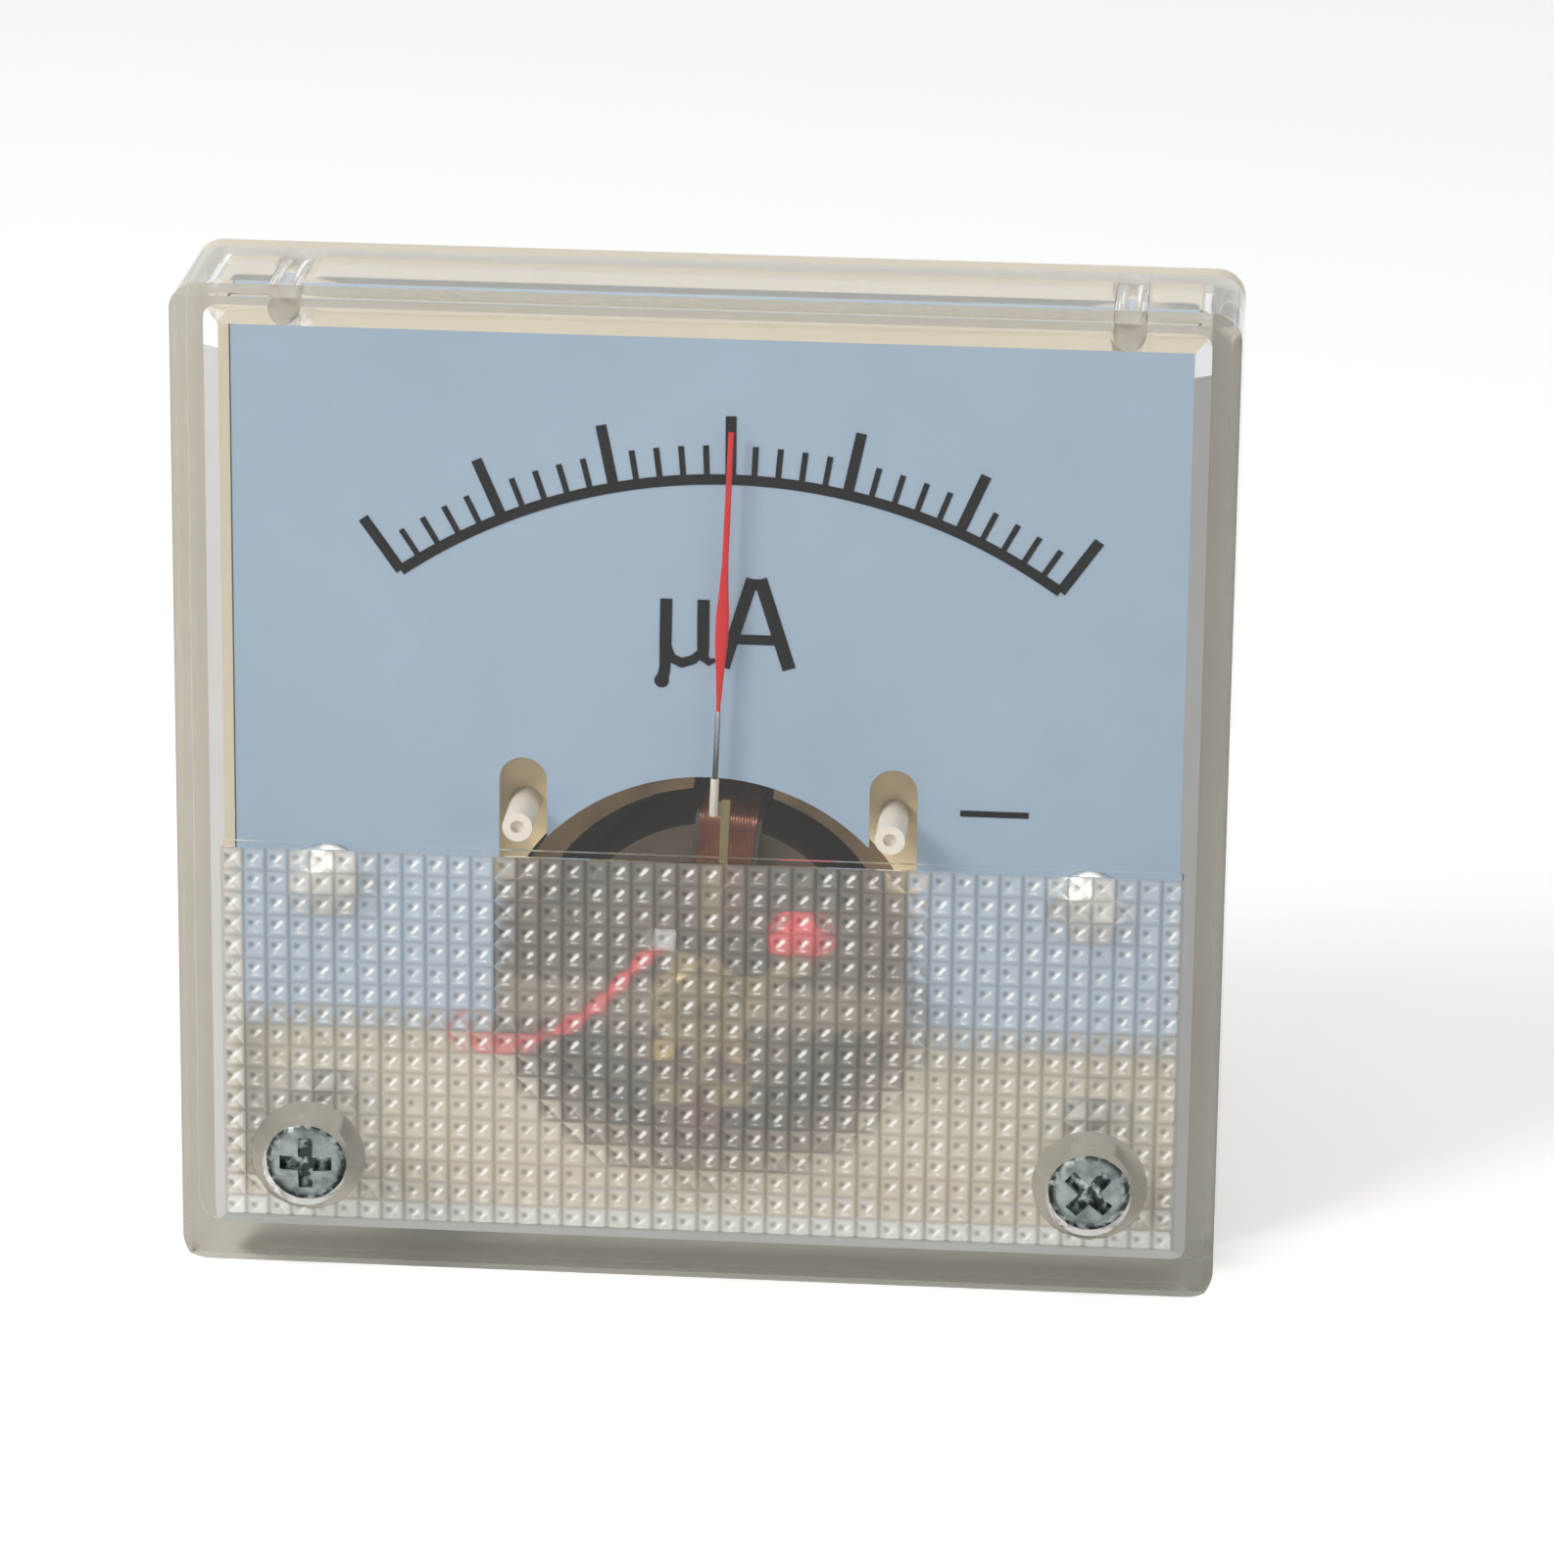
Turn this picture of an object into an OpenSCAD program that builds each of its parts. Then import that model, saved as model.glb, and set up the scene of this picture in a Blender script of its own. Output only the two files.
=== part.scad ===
// Square moving-coil panel meter with a clear prism-patterned cover.
// Millimetres. +X right, +Z up, the dial faces -Y.
// The origin is on the panel plane, midway between the two mounting studs.

/* [Bezel] */
// Width of the cover and the base flange
bezel_w = 45; // [43.5:0.5:48]
// Height of the cover and the base flange
bezel_h = 44; // [42.5:0.5:47]
// Height of the cover in front of the base flange
cover_depth = 6.8; // [6.8:0.1:9]
// Thickness of the base flange
flange_t = 1.2; // [1:0.1:1.6]
// Radius of the bezel's corners
corner_r = 1.2; // [0.8:0.1:2]
// Distance from the bezel's top edge down to the line of the mounting studs
stud_edge = 5; // [4.8:0.1:5.5]

/* [Cover] */
// Thickness of the cover's side walls
cover_wall = 1.25; // [1:0.05:1.35]
// Thickness of the cover's front wall
front_wall = 1.6; // [1.4:0.1:1.7]
// Chamfer along the cover's outer front edges
edge_chamfer = 0.45; // [0.2:0.05:0.8]
// Chamfer along the cover's inner front edges
inner_chamfer = 0.7; // [0.3:0.05:0.9]
// Spacing of the prism pattern
prism_pitch = 1; // [0.9:0.05:1.4]
// Height of one prism above the front wall
prism_h = 0.16; // [0.1:0.01:0.35]
// Distance from the bezel's centre down to the top of the prism band
prism_drop = 3.2; // [2:0.1:4]
// Width of the smooth border between the prism band and the side walls
prism_border = 0.45; // [0.3:0.05:1]
// Height of the smooth bead above the prism band
bead_h = 0.3; // [0.2:0.05:0.5]
// Sideways distance from the centre to a guide rib under the top wall
rib_x = 17.8; // [15:0.1:18.5]
// Radius of the half-round guide ribs
rib_r = 0.7; // [0.4:0.05:0.8]

/* [Cover screws] */
// Sideways distance from the centre to a cover screw
cover_screw_x = 17.05; // [16:0.05:17.5]
// Distance from the bezel's bottom edge up to the cover screws
cover_screw_edge = 4.7; // [4.6:0.1:5.4]
// Radius of the cover screw shanks
cover_screw_r = 1; // [0.8:0.05:1.1]
// Radius of the cover screw heads
cover_head_r = 1.75; // [1.6:0.05:1.85]
// Height of the cover screw heads
cover_head_h = 1.1; // [0.9:0.05:1.3]
// Radius of the posts that the cover screws pass through
cover_post_r = 2.5; // [2.4:0.05:2.7]
// Length of a cover screw that bites in the base
cover_bite = 4; // [3:0.5:6]

/* [Base] */
// Depth of the rear body behind the panel plane
body_depth = 13.8; // [13.6:0.1:16]
// Width of the rear body
body_w = 40.6; // [39.6:0.2:41]
// Height of the rear body
body_h = 22.4; // [21.8:0.1:22.6]
// Thickness of the rear body's floor
floor_t = 1.4; // [1:0.1:1.5]
// Height of the locating lip above the flange
lip_h = 1.3; // [0.6:0.1:1.4]
// Thickness of the locating lip
lip_t = 0.45; // [0.35:0.05:0.6]

/* [Dial] */
// Thickness of the dial plate
dial_t = 0.5; // [0.3:0.05:0.6]
// Distance from the bezel's centre down to the dial's lower edge
dial_drop = 12.1; // [12:0.1:12.4]
// Height of the bosses that carry the dial
dial_boss_h = 1; // [0.9:0.05:1.1]
// Sideways distance from the centre to a dial screw
dial_screw_x = 16.6; // [15.5:0.1:17.4]
// Distance from the bezel's centre down to the dial screws
dial_screw_drop = 5.8; // [5:0.1:6]
// Radius of the window above the movement
window_r = 9.7; // [9:0.1:9.9]
// Half width of the opening in the dial below the window
notch_half_w = 9.1; // [9:0.05:9.3]
// Distance from the bezel's centre down to the ends of the stop slots
slot_top_drop = -0.1; // [-1:0.1:0.8]

/* [Movement] */
// Distance from the bezel's centre down to the pivot axis
pivot_drop = 10.2; // [10.1:0.05:10.3]
// Radius of the core magnet
core_r = 6.6; // [6.4:0.05:6.65]
// Room between the movement's rear end and the floor of the body
tail_room = 0.76; // [0.7:0.02:1]
// Distance from the panel plane back to the core's front face
core_y = 0.2; // [0.1:0.05:0.3]
// Clearance between the coil and the core
core_gap = 0.35; // [0.3:0.01:0.4]
// Thickness of the coil former
former_t = 0.2; // [0.15:0.01:0.25]
// Height of the winding on the former
winding_t = 0.6; // [0.5:0.05:0.65]
// Width of the coil former
former_w = 2.9; // [2.6:0.05:3]
// Thickness of the former's side flanges
former_rim = 0.2; // [0.15:0.01:0.3]
// Clearance between the swinging coil and the yoke
yoke_gap = 0.38; // [0.33:0.01:0.4]
// Thickness of the yoke ring
yoke_t = 1.05; // [0.9:0.05:1.1]
// Lean of the pointer at rest, to the right, in degrees
rest_lean = 2.1; // [0:0.1:3]
// Lean of the coil against the pointer, in degrees
coil_lean = 4; // [0:0.5:6]
// Half angle of the spacers between core and yoke, in degrees
spacer_half_deg = 20; // [12:1:24]

/* [Bridges] */
// Thickness of the bridge straps
strap_t = 0.6; // [0.5:0.05:0.7]
// Half width of the bridge straps
strap_half_w = 1; // [0.8:0.05:1.2]
// Half width of the bridge feet and the yoke's ears
foot_half_w = 1.6; // [1.4:0.05:1.7]
// Sideways distance from the pivot axis to a bridge screw
bridge_screw_x = 10; // [9.95:0.01:10.05]
// Sideways distance from the pivot axis to a movement screw
move_screw_x = 12.5; // [12.4:0.05:12.6]
// Distance from the core's front face forward to the front bridge strap
front_rise = 4.5; // [4.5:0.05:4.6]
// Distance from the core's rear face back to the rear bridge strap
rear_rise = 3.8; // [3.8:0.05:3.9]

/* [Pointer] */
// Distance from the pivot axis to the pointer's tip
pointer_len = 25.4; // [22:0.1:26]
// Width of the pointer's blade at its widest
blade_w = 0.64; // [0.4:0.02:0.8]
// Width of the pointer's tip
tip_w = 0.36; // [0.2:0.02:0.5]
// Thickness of the pointer's blade
blade_t = 0.14; // [0.1:0.01:0.16]
// Radius of the pointer's tube
tube_r = 0.12; // [0.08:0.01:0.13]
// Radius of the bare sleeve at the pointer's root
sleeve_r = 0.19; // [0.15:0.01:0.2]
// Thickness of the brass carrier
carrier_t = 0.25; // [0.2:0.01:0.3]
// Length of the two balance arms
balance_len = 3.8; // [3:0.1:4.2]

/* [Pivots and springs] */
// Radius of the pivot staffs
staff_r = 0.4; // [0.35:0.01:0.42]
// Radius of the jewel screws
jewel_r = 0.9; // [0.85:0.01:1]
// Outer radius of the front hairspring
front_spring_r = 4.65; // [3.8:0.05:4.7]
// Outer radius of the rear hairspring
rear_spring_r = 3.2; // [2.4:0.05:3.4]
// Thickness of the hairspring strip
spring_t = 0.12; // [0.08:0.01:0.14]
// Width of the hairspring strip
spring_w = 0.4; // [0.3:0.02:0.44]
// Angle of the spring arms from upright, in degrees
arm_deg = 64; // [62:0.5:66]
// Width of the spring arms
arm_w = 0.8; // [0.6:0.05:0.9]

/* [Stops] */
// Sideways distance from the pivot axis to a stop
stop_x = 8.05; // [8:0.01:8.1]
// Height of the stops above the pivot axis
stop_lift = 7.85; // [7.8:0.05:8]
// Radius of the white sleeves on the stops
stop_r = 0.65; // [0.5:0.05:0.68]
// Radius of the stop pins
stop_pin_r = 0.3; // [0.2:0.05:0.4]
// Length of the stops in front of the dial
stop_out = 2.2; // [1.6:0.1:2.4]

/* [Terminals and studs] */
// Sideways distance from the centre to a terminal
terminal_x = 16.5; // [16.2:0.1:16.7]
// Radius of the terminal studs
terminal_r = 1.5; // [1.2:0.05:1.6]
// Length of a terminal stud behind the body
terminal_out = 10.4; // [10:0.2:16]
// Spacing of the mounting studs
stud_spacing = 34; // [32:0.5:35]
// Radius of the mounting studs
stud_r = 1.5; // [1.2:0.05:1.6]
// Radius of the shoulder that locates a mounting stud in the panel's hole
stud_shoulder_r = 1.65; // [1.62:0.01:1.8]
// Height of that shoulder behind the panel plane
stud_shoulder_h = 1.2; // [0.8:0.1:2]
// Length of the mounting studs behind the panel plane
stud_out = 12.6; // [11:0.2:18]
// Distance from the panel plane back to the mounting nuts' washers
panel_room = 3; // [2.5:0.1:6]
// Width across flats of the nuts
nut_af = 5.5; // [4.8:0.1:5.8]
// Thickness of the nuts
nut_t = 2.4; // [1.8:0.1:2.6]
// Thickness of the washers
washer_t = 0.5; // [0.3:0.05:0.8]
// Radius of the washers
washer_r = 3.2; // [2.8:0.1:3.5]

/* [Hidden] */
$fn = 48;
// Small gap that keeps faces of neighbouring pieces apart
slip = 0.02;
// Running clearance between pieces that fit loosely
loose = 0.1;
// Length by which a cutting shape runs past the face it cuts
over = 1;

// Levels along Y, from the front of the cover back to the terminals
cover_y = -flange_t - cover_depth;
inner_y = cover_y + front_wall;
dial_back_y = -flange_t - dial_boss_h;
dial_y = dial_back_y - dial_t;
floor_y = body_depth - floor_t;
arm_t = 0.25;
lock_t = 0.45;
lock_af = 3.2;
jewel_out = 0.1;
rear_stack = strap_t + 2 * slip + arm_t + lock_t + jewel_out;
yoke_back_y = floor_y - tail_room - rear_stack - rear_rise;
front_strap_y = core_y - front_rise - strap_t;
rear_strap_y = yoke_back_y + rear_rise;
coil_front_in = core_y - core_gap;
coil_back_in = yoke_back_y + core_gap;
coil_front_y = coil_front_in - former_t - winding_t;
coil_back_y = coil_back_in + former_t + winding_t;

// Heights along Z
cover_screw_drop = bezel_h / 2 - cover_screw_edge;
mid_z = stud_edge - bezel_h / 2;
pivot_z = mid_z - pivot_drop;
body_z = pivot_z;

// Movement angles and radii
coil_deg = rest_lean + coil_lean;
former_in = core_r + core_gap;
coil_out = former_in + former_t + winding_t;
coil_sweep = sqrt(coil_out * coil_out + former_w * former_w / 4);
yoke_in = coil_sweep + yoke_gap;
yoke_out = yoke_in + yoke_t;
well_r = yoke_out + 0.3;
ear_x = bridge_screw_x + 1;

// Draws a flat shape of the XZ plane from y0 back to y1
module slab(y0, y1) {
    translate([0, y1, 0])
        rotate([90, 0, 0])
            linear_extrude(height = y1 - y0) children();
}

// A round bar along Y
module rod(x, z, r, y0, y1) {
    translate([x, y1, z])
        rotate([90, 0, 0])
            cylinder(h = y1 - y0, r = r);
}

// A cone along Y, from radius r0 at y0 to radius r1 at y1
module cone(x, z, r0, r1, y0, y1) {
    translate([x, y0, z])
        rotate([-90, 0, 0])
            cylinder(h = y1 - y0, r1 = r0, r2 = r1);
}

// A flat shape of the YZ plane, extruded to a width centred on x = 0
module side_slab(w) {
    translate([-w / 2, 0, 0])
        rotate([90, 0, 90])
            linear_extrude(height = w) children();
}

// A rectangle with round corners, centred on the origin
module round_rect(w, h, r) {
    square([w - 2 * r, h], center = true);
    square([w, h - 2 * r], center = true);
    for (sx = [-1, 1], sz = [-1, 1])
        translate([sx * (w / 2 - r), sz * (h / 2 - r)]) circle(r = r);
}

// A bar with round ends between two points of a flat shape
module round_bar(a, b, r) {
    d = b - a;
    len = norm(d);
    translate(a)
        rotate(atan2(d[1], d[0])) {
            translate([0, -r]) square([len, 2 * r]);
            circle(r = r);
            translate([len, 0]) circle(r = r);
        }
}

// A hexagonal nut along Y, its corners turned off at 30 degrees on both faces
module hex_nut(x, z, af, r, y0, y1) {
    h = y1 - y0;
    corner = af / sqrt(3);
    far = corner + loose;
    rise = (far - af / 2) * tan(30);
    translate([x, y1, z])
        rotate([90, 0, 0])
            difference() {
                intersection() {
                    cylinder(h = h, r = corner, $fn = 6);
                    rotate_extrude()
                        polygon([[0, 0], [af / 2, 0], [far, rise], [far, h - rise], [af / 2, h], [0, h]]);
                }
                translate([0, 0, -over]) cylinder(h = h + 2 * over, r = r);
            }
}

// A flat ring along Y
module washer(x, z, r_out, r_in, y0, y1) {
    difference() {
        rod(x, z, r_out, y0, y1);
        rod(x, z, r_in, y0 - over, y1 + over);
    }
}

// A box along the bezel's depth with all four front edges chamfered by c
module chamfered_box(w, h, r, c, y0, y1) {
    intersection() {
        translate([0, 0, mid_z]) slab(y0, y1) round_rect(w, h, r);
        translate([0, 0, mid_z]) side_slab(w + 2 * over)
            polygon([
                [y0, -h / 2 + c], [y0 + c, -h / 2], [y1, -h / 2],
                [y1, h / 2], [y0 + c, h / 2], [y0, h / 2 - c]
            ]);
        translate([0, 0, mid_z - h / 2 - over]) linear_extrude(height = h + 2 * over)
            polygon([
                [-w / 2 + c, y0], [w / 2 - c, y0], [w / 2, y0 + c],
                [w / 2, y1], [-w / 2, y1], [-w / 2, y0 + c]
            ]);
    }
}

// ---- Cover ----

band_half_w = bezel_w / 2 - cover_wall - prism_border;
band_top_z = mid_z - prism_drop;
band_bottom_z = mid_z - bezel_h / 2 + cover_wall + prism_border;
band_h = band_top_z - band_bottom_z;
cover_screw_z = mid_z - cover_screw_drop;
// The screw heads lie just below the front face, each in a close-fitting seat
cover_seat_y = cover_y + cover_head_h + loose;
cover_back_y = -flange_t - slip;

// A saw-tooth strip of the given length, with its teeth pointing up
module saw_strip(length, pitch, height) {
    count = round(length / pitch);
    step = length / count;
    polygon(concat(
        [[length, -over], [0, -over]],
        [for (i = [0 : count], side = [0, 1])
            if (i + side / 2 <= count) [(i + side / 2) * step, side * height]]
    ));
}

// Rows and columns of small square pyramids on the inner side of the front wall
module prism_band() {
    intersection() {
        translate([-band_half_w, inner_y, band_bottom_z])
            linear_extrude(height = band_h) saw_strip(2 * band_half_w, prism_pitch, prism_h);
        translate([-band_half_w, inner_y, band_top_z])
            rotate([0, 90, 0])
                linear_extrude(height = 2 * band_half_w) saw_strip(band_h, prism_pitch, prism_h);
    }
}

module front_cover() {
    inner_w = bezel_w - 2 * cover_wall;
    inner_h = bezel_h - 2 * cover_wall;
    color([0.86, 0.88, 0.86, 0.35]) difference() {
        union() {
            difference() {
                chamfered_box(bezel_w, bezel_h, corner_r, edge_chamfer, cover_y, cover_back_y);
                chamfered_box(inner_w, inner_h, corner_r / 2, inner_chamfer, inner_y, -flange_t + over);
            }
            prism_band();
            translate([0, 0, band_top_z]) slab(inner_y - over / 2, inner_y + prism_h)
                translate([-band_half_w, 0]) square([2 * band_half_w, bead_h]);
            for (side = [-1, 1]) {
                rod(side * cover_screw_x, cover_screw_z, cover_post_r, inner_y - over / 2, cover_back_y);
                rod(side * rib_x, mid_z + inner_h / 2, rib_r, inner_y - over / 2, cover_back_y);
            }
        }
        for (side = [-1, 1]) {
            rod(side * cover_screw_x, cover_screw_z, cover_head_r + loose, cover_y - over, cover_seat_y);
            rod(side * cover_screw_x, cover_screw_z, cover_screw_r + loose, cover_y, -flange_t + over);
        }
    }
}

// A round-headed screw along Y with a cross recess; its head faces -Y
module cross_screw(x, z, head_r, head_h, r, y_seat, length, turn) {
    dome = head_r * 2.4;
    rim = head_h * 0.45;
    difference() {
        union() {
            intersection() {
                rod(x, z, head_r, y_seat - head_h, y_seat);
                translate([x, y_seat - head_h + dome, z]) sphere(r = dome);
            }
            rod(x, z, r, y_seat - rim, y_seat + length - r * 0.6);
            cone(x, z, r, r * 0.4, y_seat + length - r * 0.6, y_seat + length);
        }
        translate([x, 0, z]) rotate([0, turn, 0])
            for (a = [0, 90])
                rotate([0, a, 0]) slab(y_seat - head_h - over, y_seat - head_h * 0.35)
                    square([head_r * 1.3, head_r * 0.36], center = true);
    }
}

module cover_screws() {
    color([0.62, 0.66, 0.68]) for (side = [-1, 1])
        cross_screw(side * cover_screw_x, cover_screw_z, cover_head_r, cover_head_h, cover_screw_r,
            cover_seat_y, -flange_t - cover_seat_y + cover_bite, side < 0 ? 0 : 42);
}

// ---- Base ----

dial_screw_r = 1;
dial_head_r = 1.7;
dial_head_h = 1.2;
dial_screw_z = mid_z - dial_screw_drop;
dial_screw_len = 5;
// Room left below the end of a screw in its blind hole
hole_room = 0.5;
bay_half_h = foot_half_w + 0.3;
bay_x = terminal_x + 2.4;
foot_y = yoke_back_y + strap_t;
move_screw_r = 0.8;
move_post_r = 1.25;
move_head_r = 1.25;
move_head_h = 0.8;
move_bite = 3.2;
stop_z = pivot_z + stop_lift;
stop_seat_y = 3;
stud_head_r = 2.6;
stud_head_h = 1;
// Radius of the knurled part of a mounting stud inside the base
stud_knurl_r = 1.9;
stud_boss_r = stud_head_r + 0.4;
body_corner_r = 1.5;
body_chamfer = 0.5;

module lip() {
    inner_half_w = bezel_w / 2 - cover_wall - loose;
    inner_half_h = bezel_h / 2 - cover_wall - loose;
    translate([0, 0, mid_z]) slab(-flange_t - lip_h, -flange_t + over / 2) difference() {
        round_rect(2 * inner_half_w, 2 * inner_half_h, corner_r / 2);
        round_rect(2 * (inner_half_w - lip_t), 2 * (inner_half_h - lip_t), corner_r / 3);
        for (side = [-1, 1]) {
            translate([side * cover_screw_x, -cover_screw_drop]) circle(r = cover_post_r + loose);
            translate([side * rib_x, inner_half_h]) circle(r = rib_r + 2 * loose);
        }
    }
}

module base_housing() {
    color([0.87, 0.84, 0.76]) difference() {
        union() {
            translate([0, 0, mid_z]) slab(-flange_t, 0) round_rect(bezel_w, bezel_h, corner_r);
            translate([0, 0, body_z - mid_z]) mirror([0, 1, 0])
                chamfered_box(body_w, body_h, body_corner_r, body_chamfer, -body_depth, over / 2);
            lip();
            for (side = [-1, 1]) {
                rod(side * dial_screw_x, dial_screw_z, dial_screw_r + 1.2, dial_back_y, 0);
                rod(side * stud_spacing / 2, 0, stud_boss_r, dial_back_y, 0);
            }
        }
        rod(0, pivot_z, well_r, -flange_t - over, floor_y);
        translate([0, 0, pivot_z]) slab(-flange_t - over, floor_y)
            square([2 * bay_x, 2 * bay_half_h], center = true);
        for (side = [-1, 1]) {
            rod(side * cover_screw_x, cover_screw_z, cover_screw_r,
                -flange_t - over, -flange_t + cover_bite + hole_room);
            rod(side * dial_screw_x, dial_screw_z, dial_screw_r,
                dial_back_y - over, dial_back_y + dial_screw_len);
            rod(side * terminal_x, pivot_z, terminal_r, floor_y - over, body_depth + over);
            rod(side * stop_x, stop_z, stop_pin_r, -flange_t - over, stop_seat_y);
            rod(side * stud_spacing / 2, 0, stud_knurl_r, dial_back_y - over, over);
            rod(side * stud_spacing / 2, 0, stud_head_r, dial_back_y - over, dial_back_y + stud_head_h);
        }
    }
    color([0.87, 0.84, 0.76]) for (side = [-1, 1])
        difference() {
            rod(side * move_screw_x, pivot_z, move_post_r, foot_y, floor_y);
            rod(side * move_screw_x, pivot_z, move_screw_r, foot_y - over, foot_y + move_bite + 3 * loose);
        }
}

// ---- Dial ----

dial_half_w = bezel_w / 2 - cover_wall - loose - lip_t - loose;
dial_top_z = mid_z + bezel_h / 2 - cover_wall - rib_r - 2 * loose;
dial_bottom_z = mid_z - dial_drop;
slot_r = stop_r + 0.4;
window_half_w = stop_x - 0.9 * slot_r;

module dial_plate() {
    color([0.66, 0.72, 0.76]) difference() {
        slab(dial_y, dial_back_y) difference() {
            translate([-dial_half_w, dial_bottom_z]) square([2 * dial_half_w, dial_top_z - dial_bottom_z]);
            intersection() {
                translate([0, pivot_z]) circle(r = window_r);
                translate([-window_half_w, pivot_z]) square([2 * window_half_w, window_r + over]);
            }
            translate([-notch_half_w, dial_bottom_z - over])
                square([2 * notch_half_w, mid_z - dial_bottom_z + over - 4.6]);
            for (side = [-1, 1])
                round_bar([side * stop_x, dial_bottom_z],
                    [side * stop_x, mid_z - slot_top_drop - slot_r], slot_r);
        }
        for (side = [-1, 1])
            rod(side * dial_screw_x, dial_screw_z, dial_screw_r + loose, dial_y - over, dial_back_y + over);
    }
}

module slot_screw(x, z, head_r, head_h, r, y_seat, length, turn) {
    dome = head_r * 1.15;
    difference() {
        union() {
            intersection() {
                rod(x, z, head_r, y_seat - head_h, y_seat);
                translate([x, y_seat - head_h + dome, z]) sphere(r = dome);
            }
            rod(x, z, r, y_seat - head_h * 0.3, y_seat + length);
        }
        translate([x, 0, z]) rotate([0, turn, 0]) slab(y_seat - head_h - over, y_seat - head_h * 0.6)
            square([3 * head_r, head_r * 0.26], center = true);
    }
}

module dial_screws() {
    color([0.8, 0.8, 0.8]) for (side = [-1, 1])
        slot_screw(side * dial_screw_x, dial_screw_z, dial_head_r, dial_head_h, dial_screw_r,
            dial_y, dial_screw_len + dial_t - hole_room, 30 * side);
}

module stop_pins() {
    color([0.75, 0.75, 0.74]) for (side = [-1, 1])
        rod(side * stop_x, stop_z, stop_pin_r, dial_y - stop_out + 0.3, stop_seat_y);
}

module stop_sleeves() {
    color([0.93, 0.91, 0.88]) for (side = [-1, 1])
        washer(side * stop_x, stop_z, stop_r, stop_pin_r, dial_y - stop_out, -flange_t);
}

// ---- Magnetic circuit ----

module core_magnet() {
    color([0.3, 0.3, 0.31]) rod(0, pivot_z, core_r, core_y, yoke_back_y);
}

// A flat ring sector between two radii, centred on angle a
module ring_sector(r_in, r_out, a, half) {
    far = r_out * 1.5;
    rotate(a) intersection() {
        difference() {
            circle(r = r_out);
            circle(r = r_in);
        }
        polygon([
            [0, 0], [far * cos(half), far * sin(half)],
            [far * 1.2, 0], [far * cos(half), -far * sin(half)]
        ]);
    }
}

module core_spacers() {
    color([0.78, 0.66, 0.36]) translate([0, 0, pivot_z]) slab(core_y, yoke_back_y) {
        ring_sector(core_r, yoke_in, 0, spacer_half_deg);
        ring_sector(core_r, yoke_in, 180, spacer_half_deg);
    }
}

bridge_screw_r = 0.6;
bridge_screw_len = 2.4;
bridge_head_r = 0.95;
bridge_head_h = 0.7;
// Part of the yoke that closes its top slot at the rear
slot_web = 1.2;

module yoke_ring() {
    slot_half_w = former_w / 2 + 0.3;
    color([0.36, 0.35, 0.33]) difference() {
        translate([0, 0, pivot_z]) slab(core_y, yoke_back_y) difference() {
            union() {
                circle(r = yoke_out);
                square([2 * ear_x, 2 * foot_half_w], center = true);
            }
            circle(r = yoke_in);
        }
        translate([0, 0, pivot_z]) rotate([0, coil_deg, 0]) slab(core_y - over, yoke_back_y - slot_web)
            translate([-slot_half_w, 0]) square([2 * slot_half_w, yoke_out + over]);
        for (side = [-1, 1]) {
            rod(side * bridge_screw_x, pivot_z, bridge_screw_r, core_y - over, core_y + bridge_screw_len);
            rod(side * bridge_screw_x, pivot_z, bridge_screw_r,
                yoke_back_y - bridge_screw_len, yoke_back_y + over);
        }
    }
}

// ---- Bridges ----

riser_gap = 0.33;
hub_wall = 1.2;
tab_len = 2.6;
tab_w = 1;

// A bent strap across the movement: feet at y = 0, bar raised towards -Y
module bridge(rise, foot_end) {
    riser_in = coil_sweep + riser_gap;
    hub_r = jewel_r + hub_wall;
    difference() {
        union() {
            slab(-rise - strap_t, -rise) {
                square([2 * (riser_in + strap_t), 2 * strap_half_w], center = true);
                circle(r = hub_r);
            }
            for (side = [-1, 1]) {
                x_in = side < 0 ? -riser_in - strap_t : riser_in;
                slab(-rise - strap_t, 0) translate([x_in, -strap_half_w]) square([strap_t, 2 * strap_half_w]);
                slab(-strap_t, 0) translate([side < 0 ? -foot_end : riser_in, -foot_half_w])
                    square([foot_end - riser_in, 2 * foot_half_w]);
            }
        }
        rod(0, 0, jewel_r, -rise - strap_t - over, -rise + over);
        for (side = [-1, 1]) {
            rod(side * bridge_screw_x, 0, bridge_screw_r + loose, -strap_t - over, over);
            rod(side * move_screw_x, 0, move_screw_r + loose, -strap_t - over, over);
        }
    }
}

module front_bridge() {
    color([0.8, 0.68, 0.36]) translate([0, core_y, pivot_z]) {
        bridge(front_rise, ear_x);
        slab(-front_rise - strap_t, -front_rise)
            rotate(120) translate([jewel_r + 0.4, -tab_w / 2]) square([tab_len, tab_w]);
    }
}

module rear_bridge() {
    color([0.8, 0.68, 0.36]) translate([0, yoke_back_y, pivot_z])
        mirror([0, 1, 0]) bridge(rear_rise, move_screw_x + foot_half_w);
}

module bridge_screws() {
    length = bridge_screw_len + strap_t - 2 * loose;
    color([0.8, 0.8, 0.8]) for (side = [-1, 1]) {
        slot_screw(side * bridge_screw_x, pivot_z, bridge_head_r, bridge_head_h, bridge_screw_r,
            core_y - strap_t, length, 20);
        translate([0, 2 * yoke_back_y, 0]) mirror([0, 1, 0])
            slot_screw(side * bridge_screw_x, pivot_z, bridge_head_r, bridge_head_h, bridge_screw_r,
                yoke_back_y - strap_t, length, -35);
    }
}

module movement_screws() {
    color([0.8, 0.8, 0.8]) for (side = [-1, 1])
        cross_screw(side * move_screw_x, pivot_z, move_head_r, move_head_h, move_screw_r,
            yoke_back_y, strap_t + move_bite, 15 * side);
}

// ---- Pivots, jewels and coil ----

front_staff_len = 2.35;
rear_staff_len = 1.55;
front_collet_y = coil_front_y - 1.25;
rear_collet_y = coil_back_y + 0.7;
collet_wall = 0.4;
flange_r = 1.1;
flange_h = 0.3;
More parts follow.
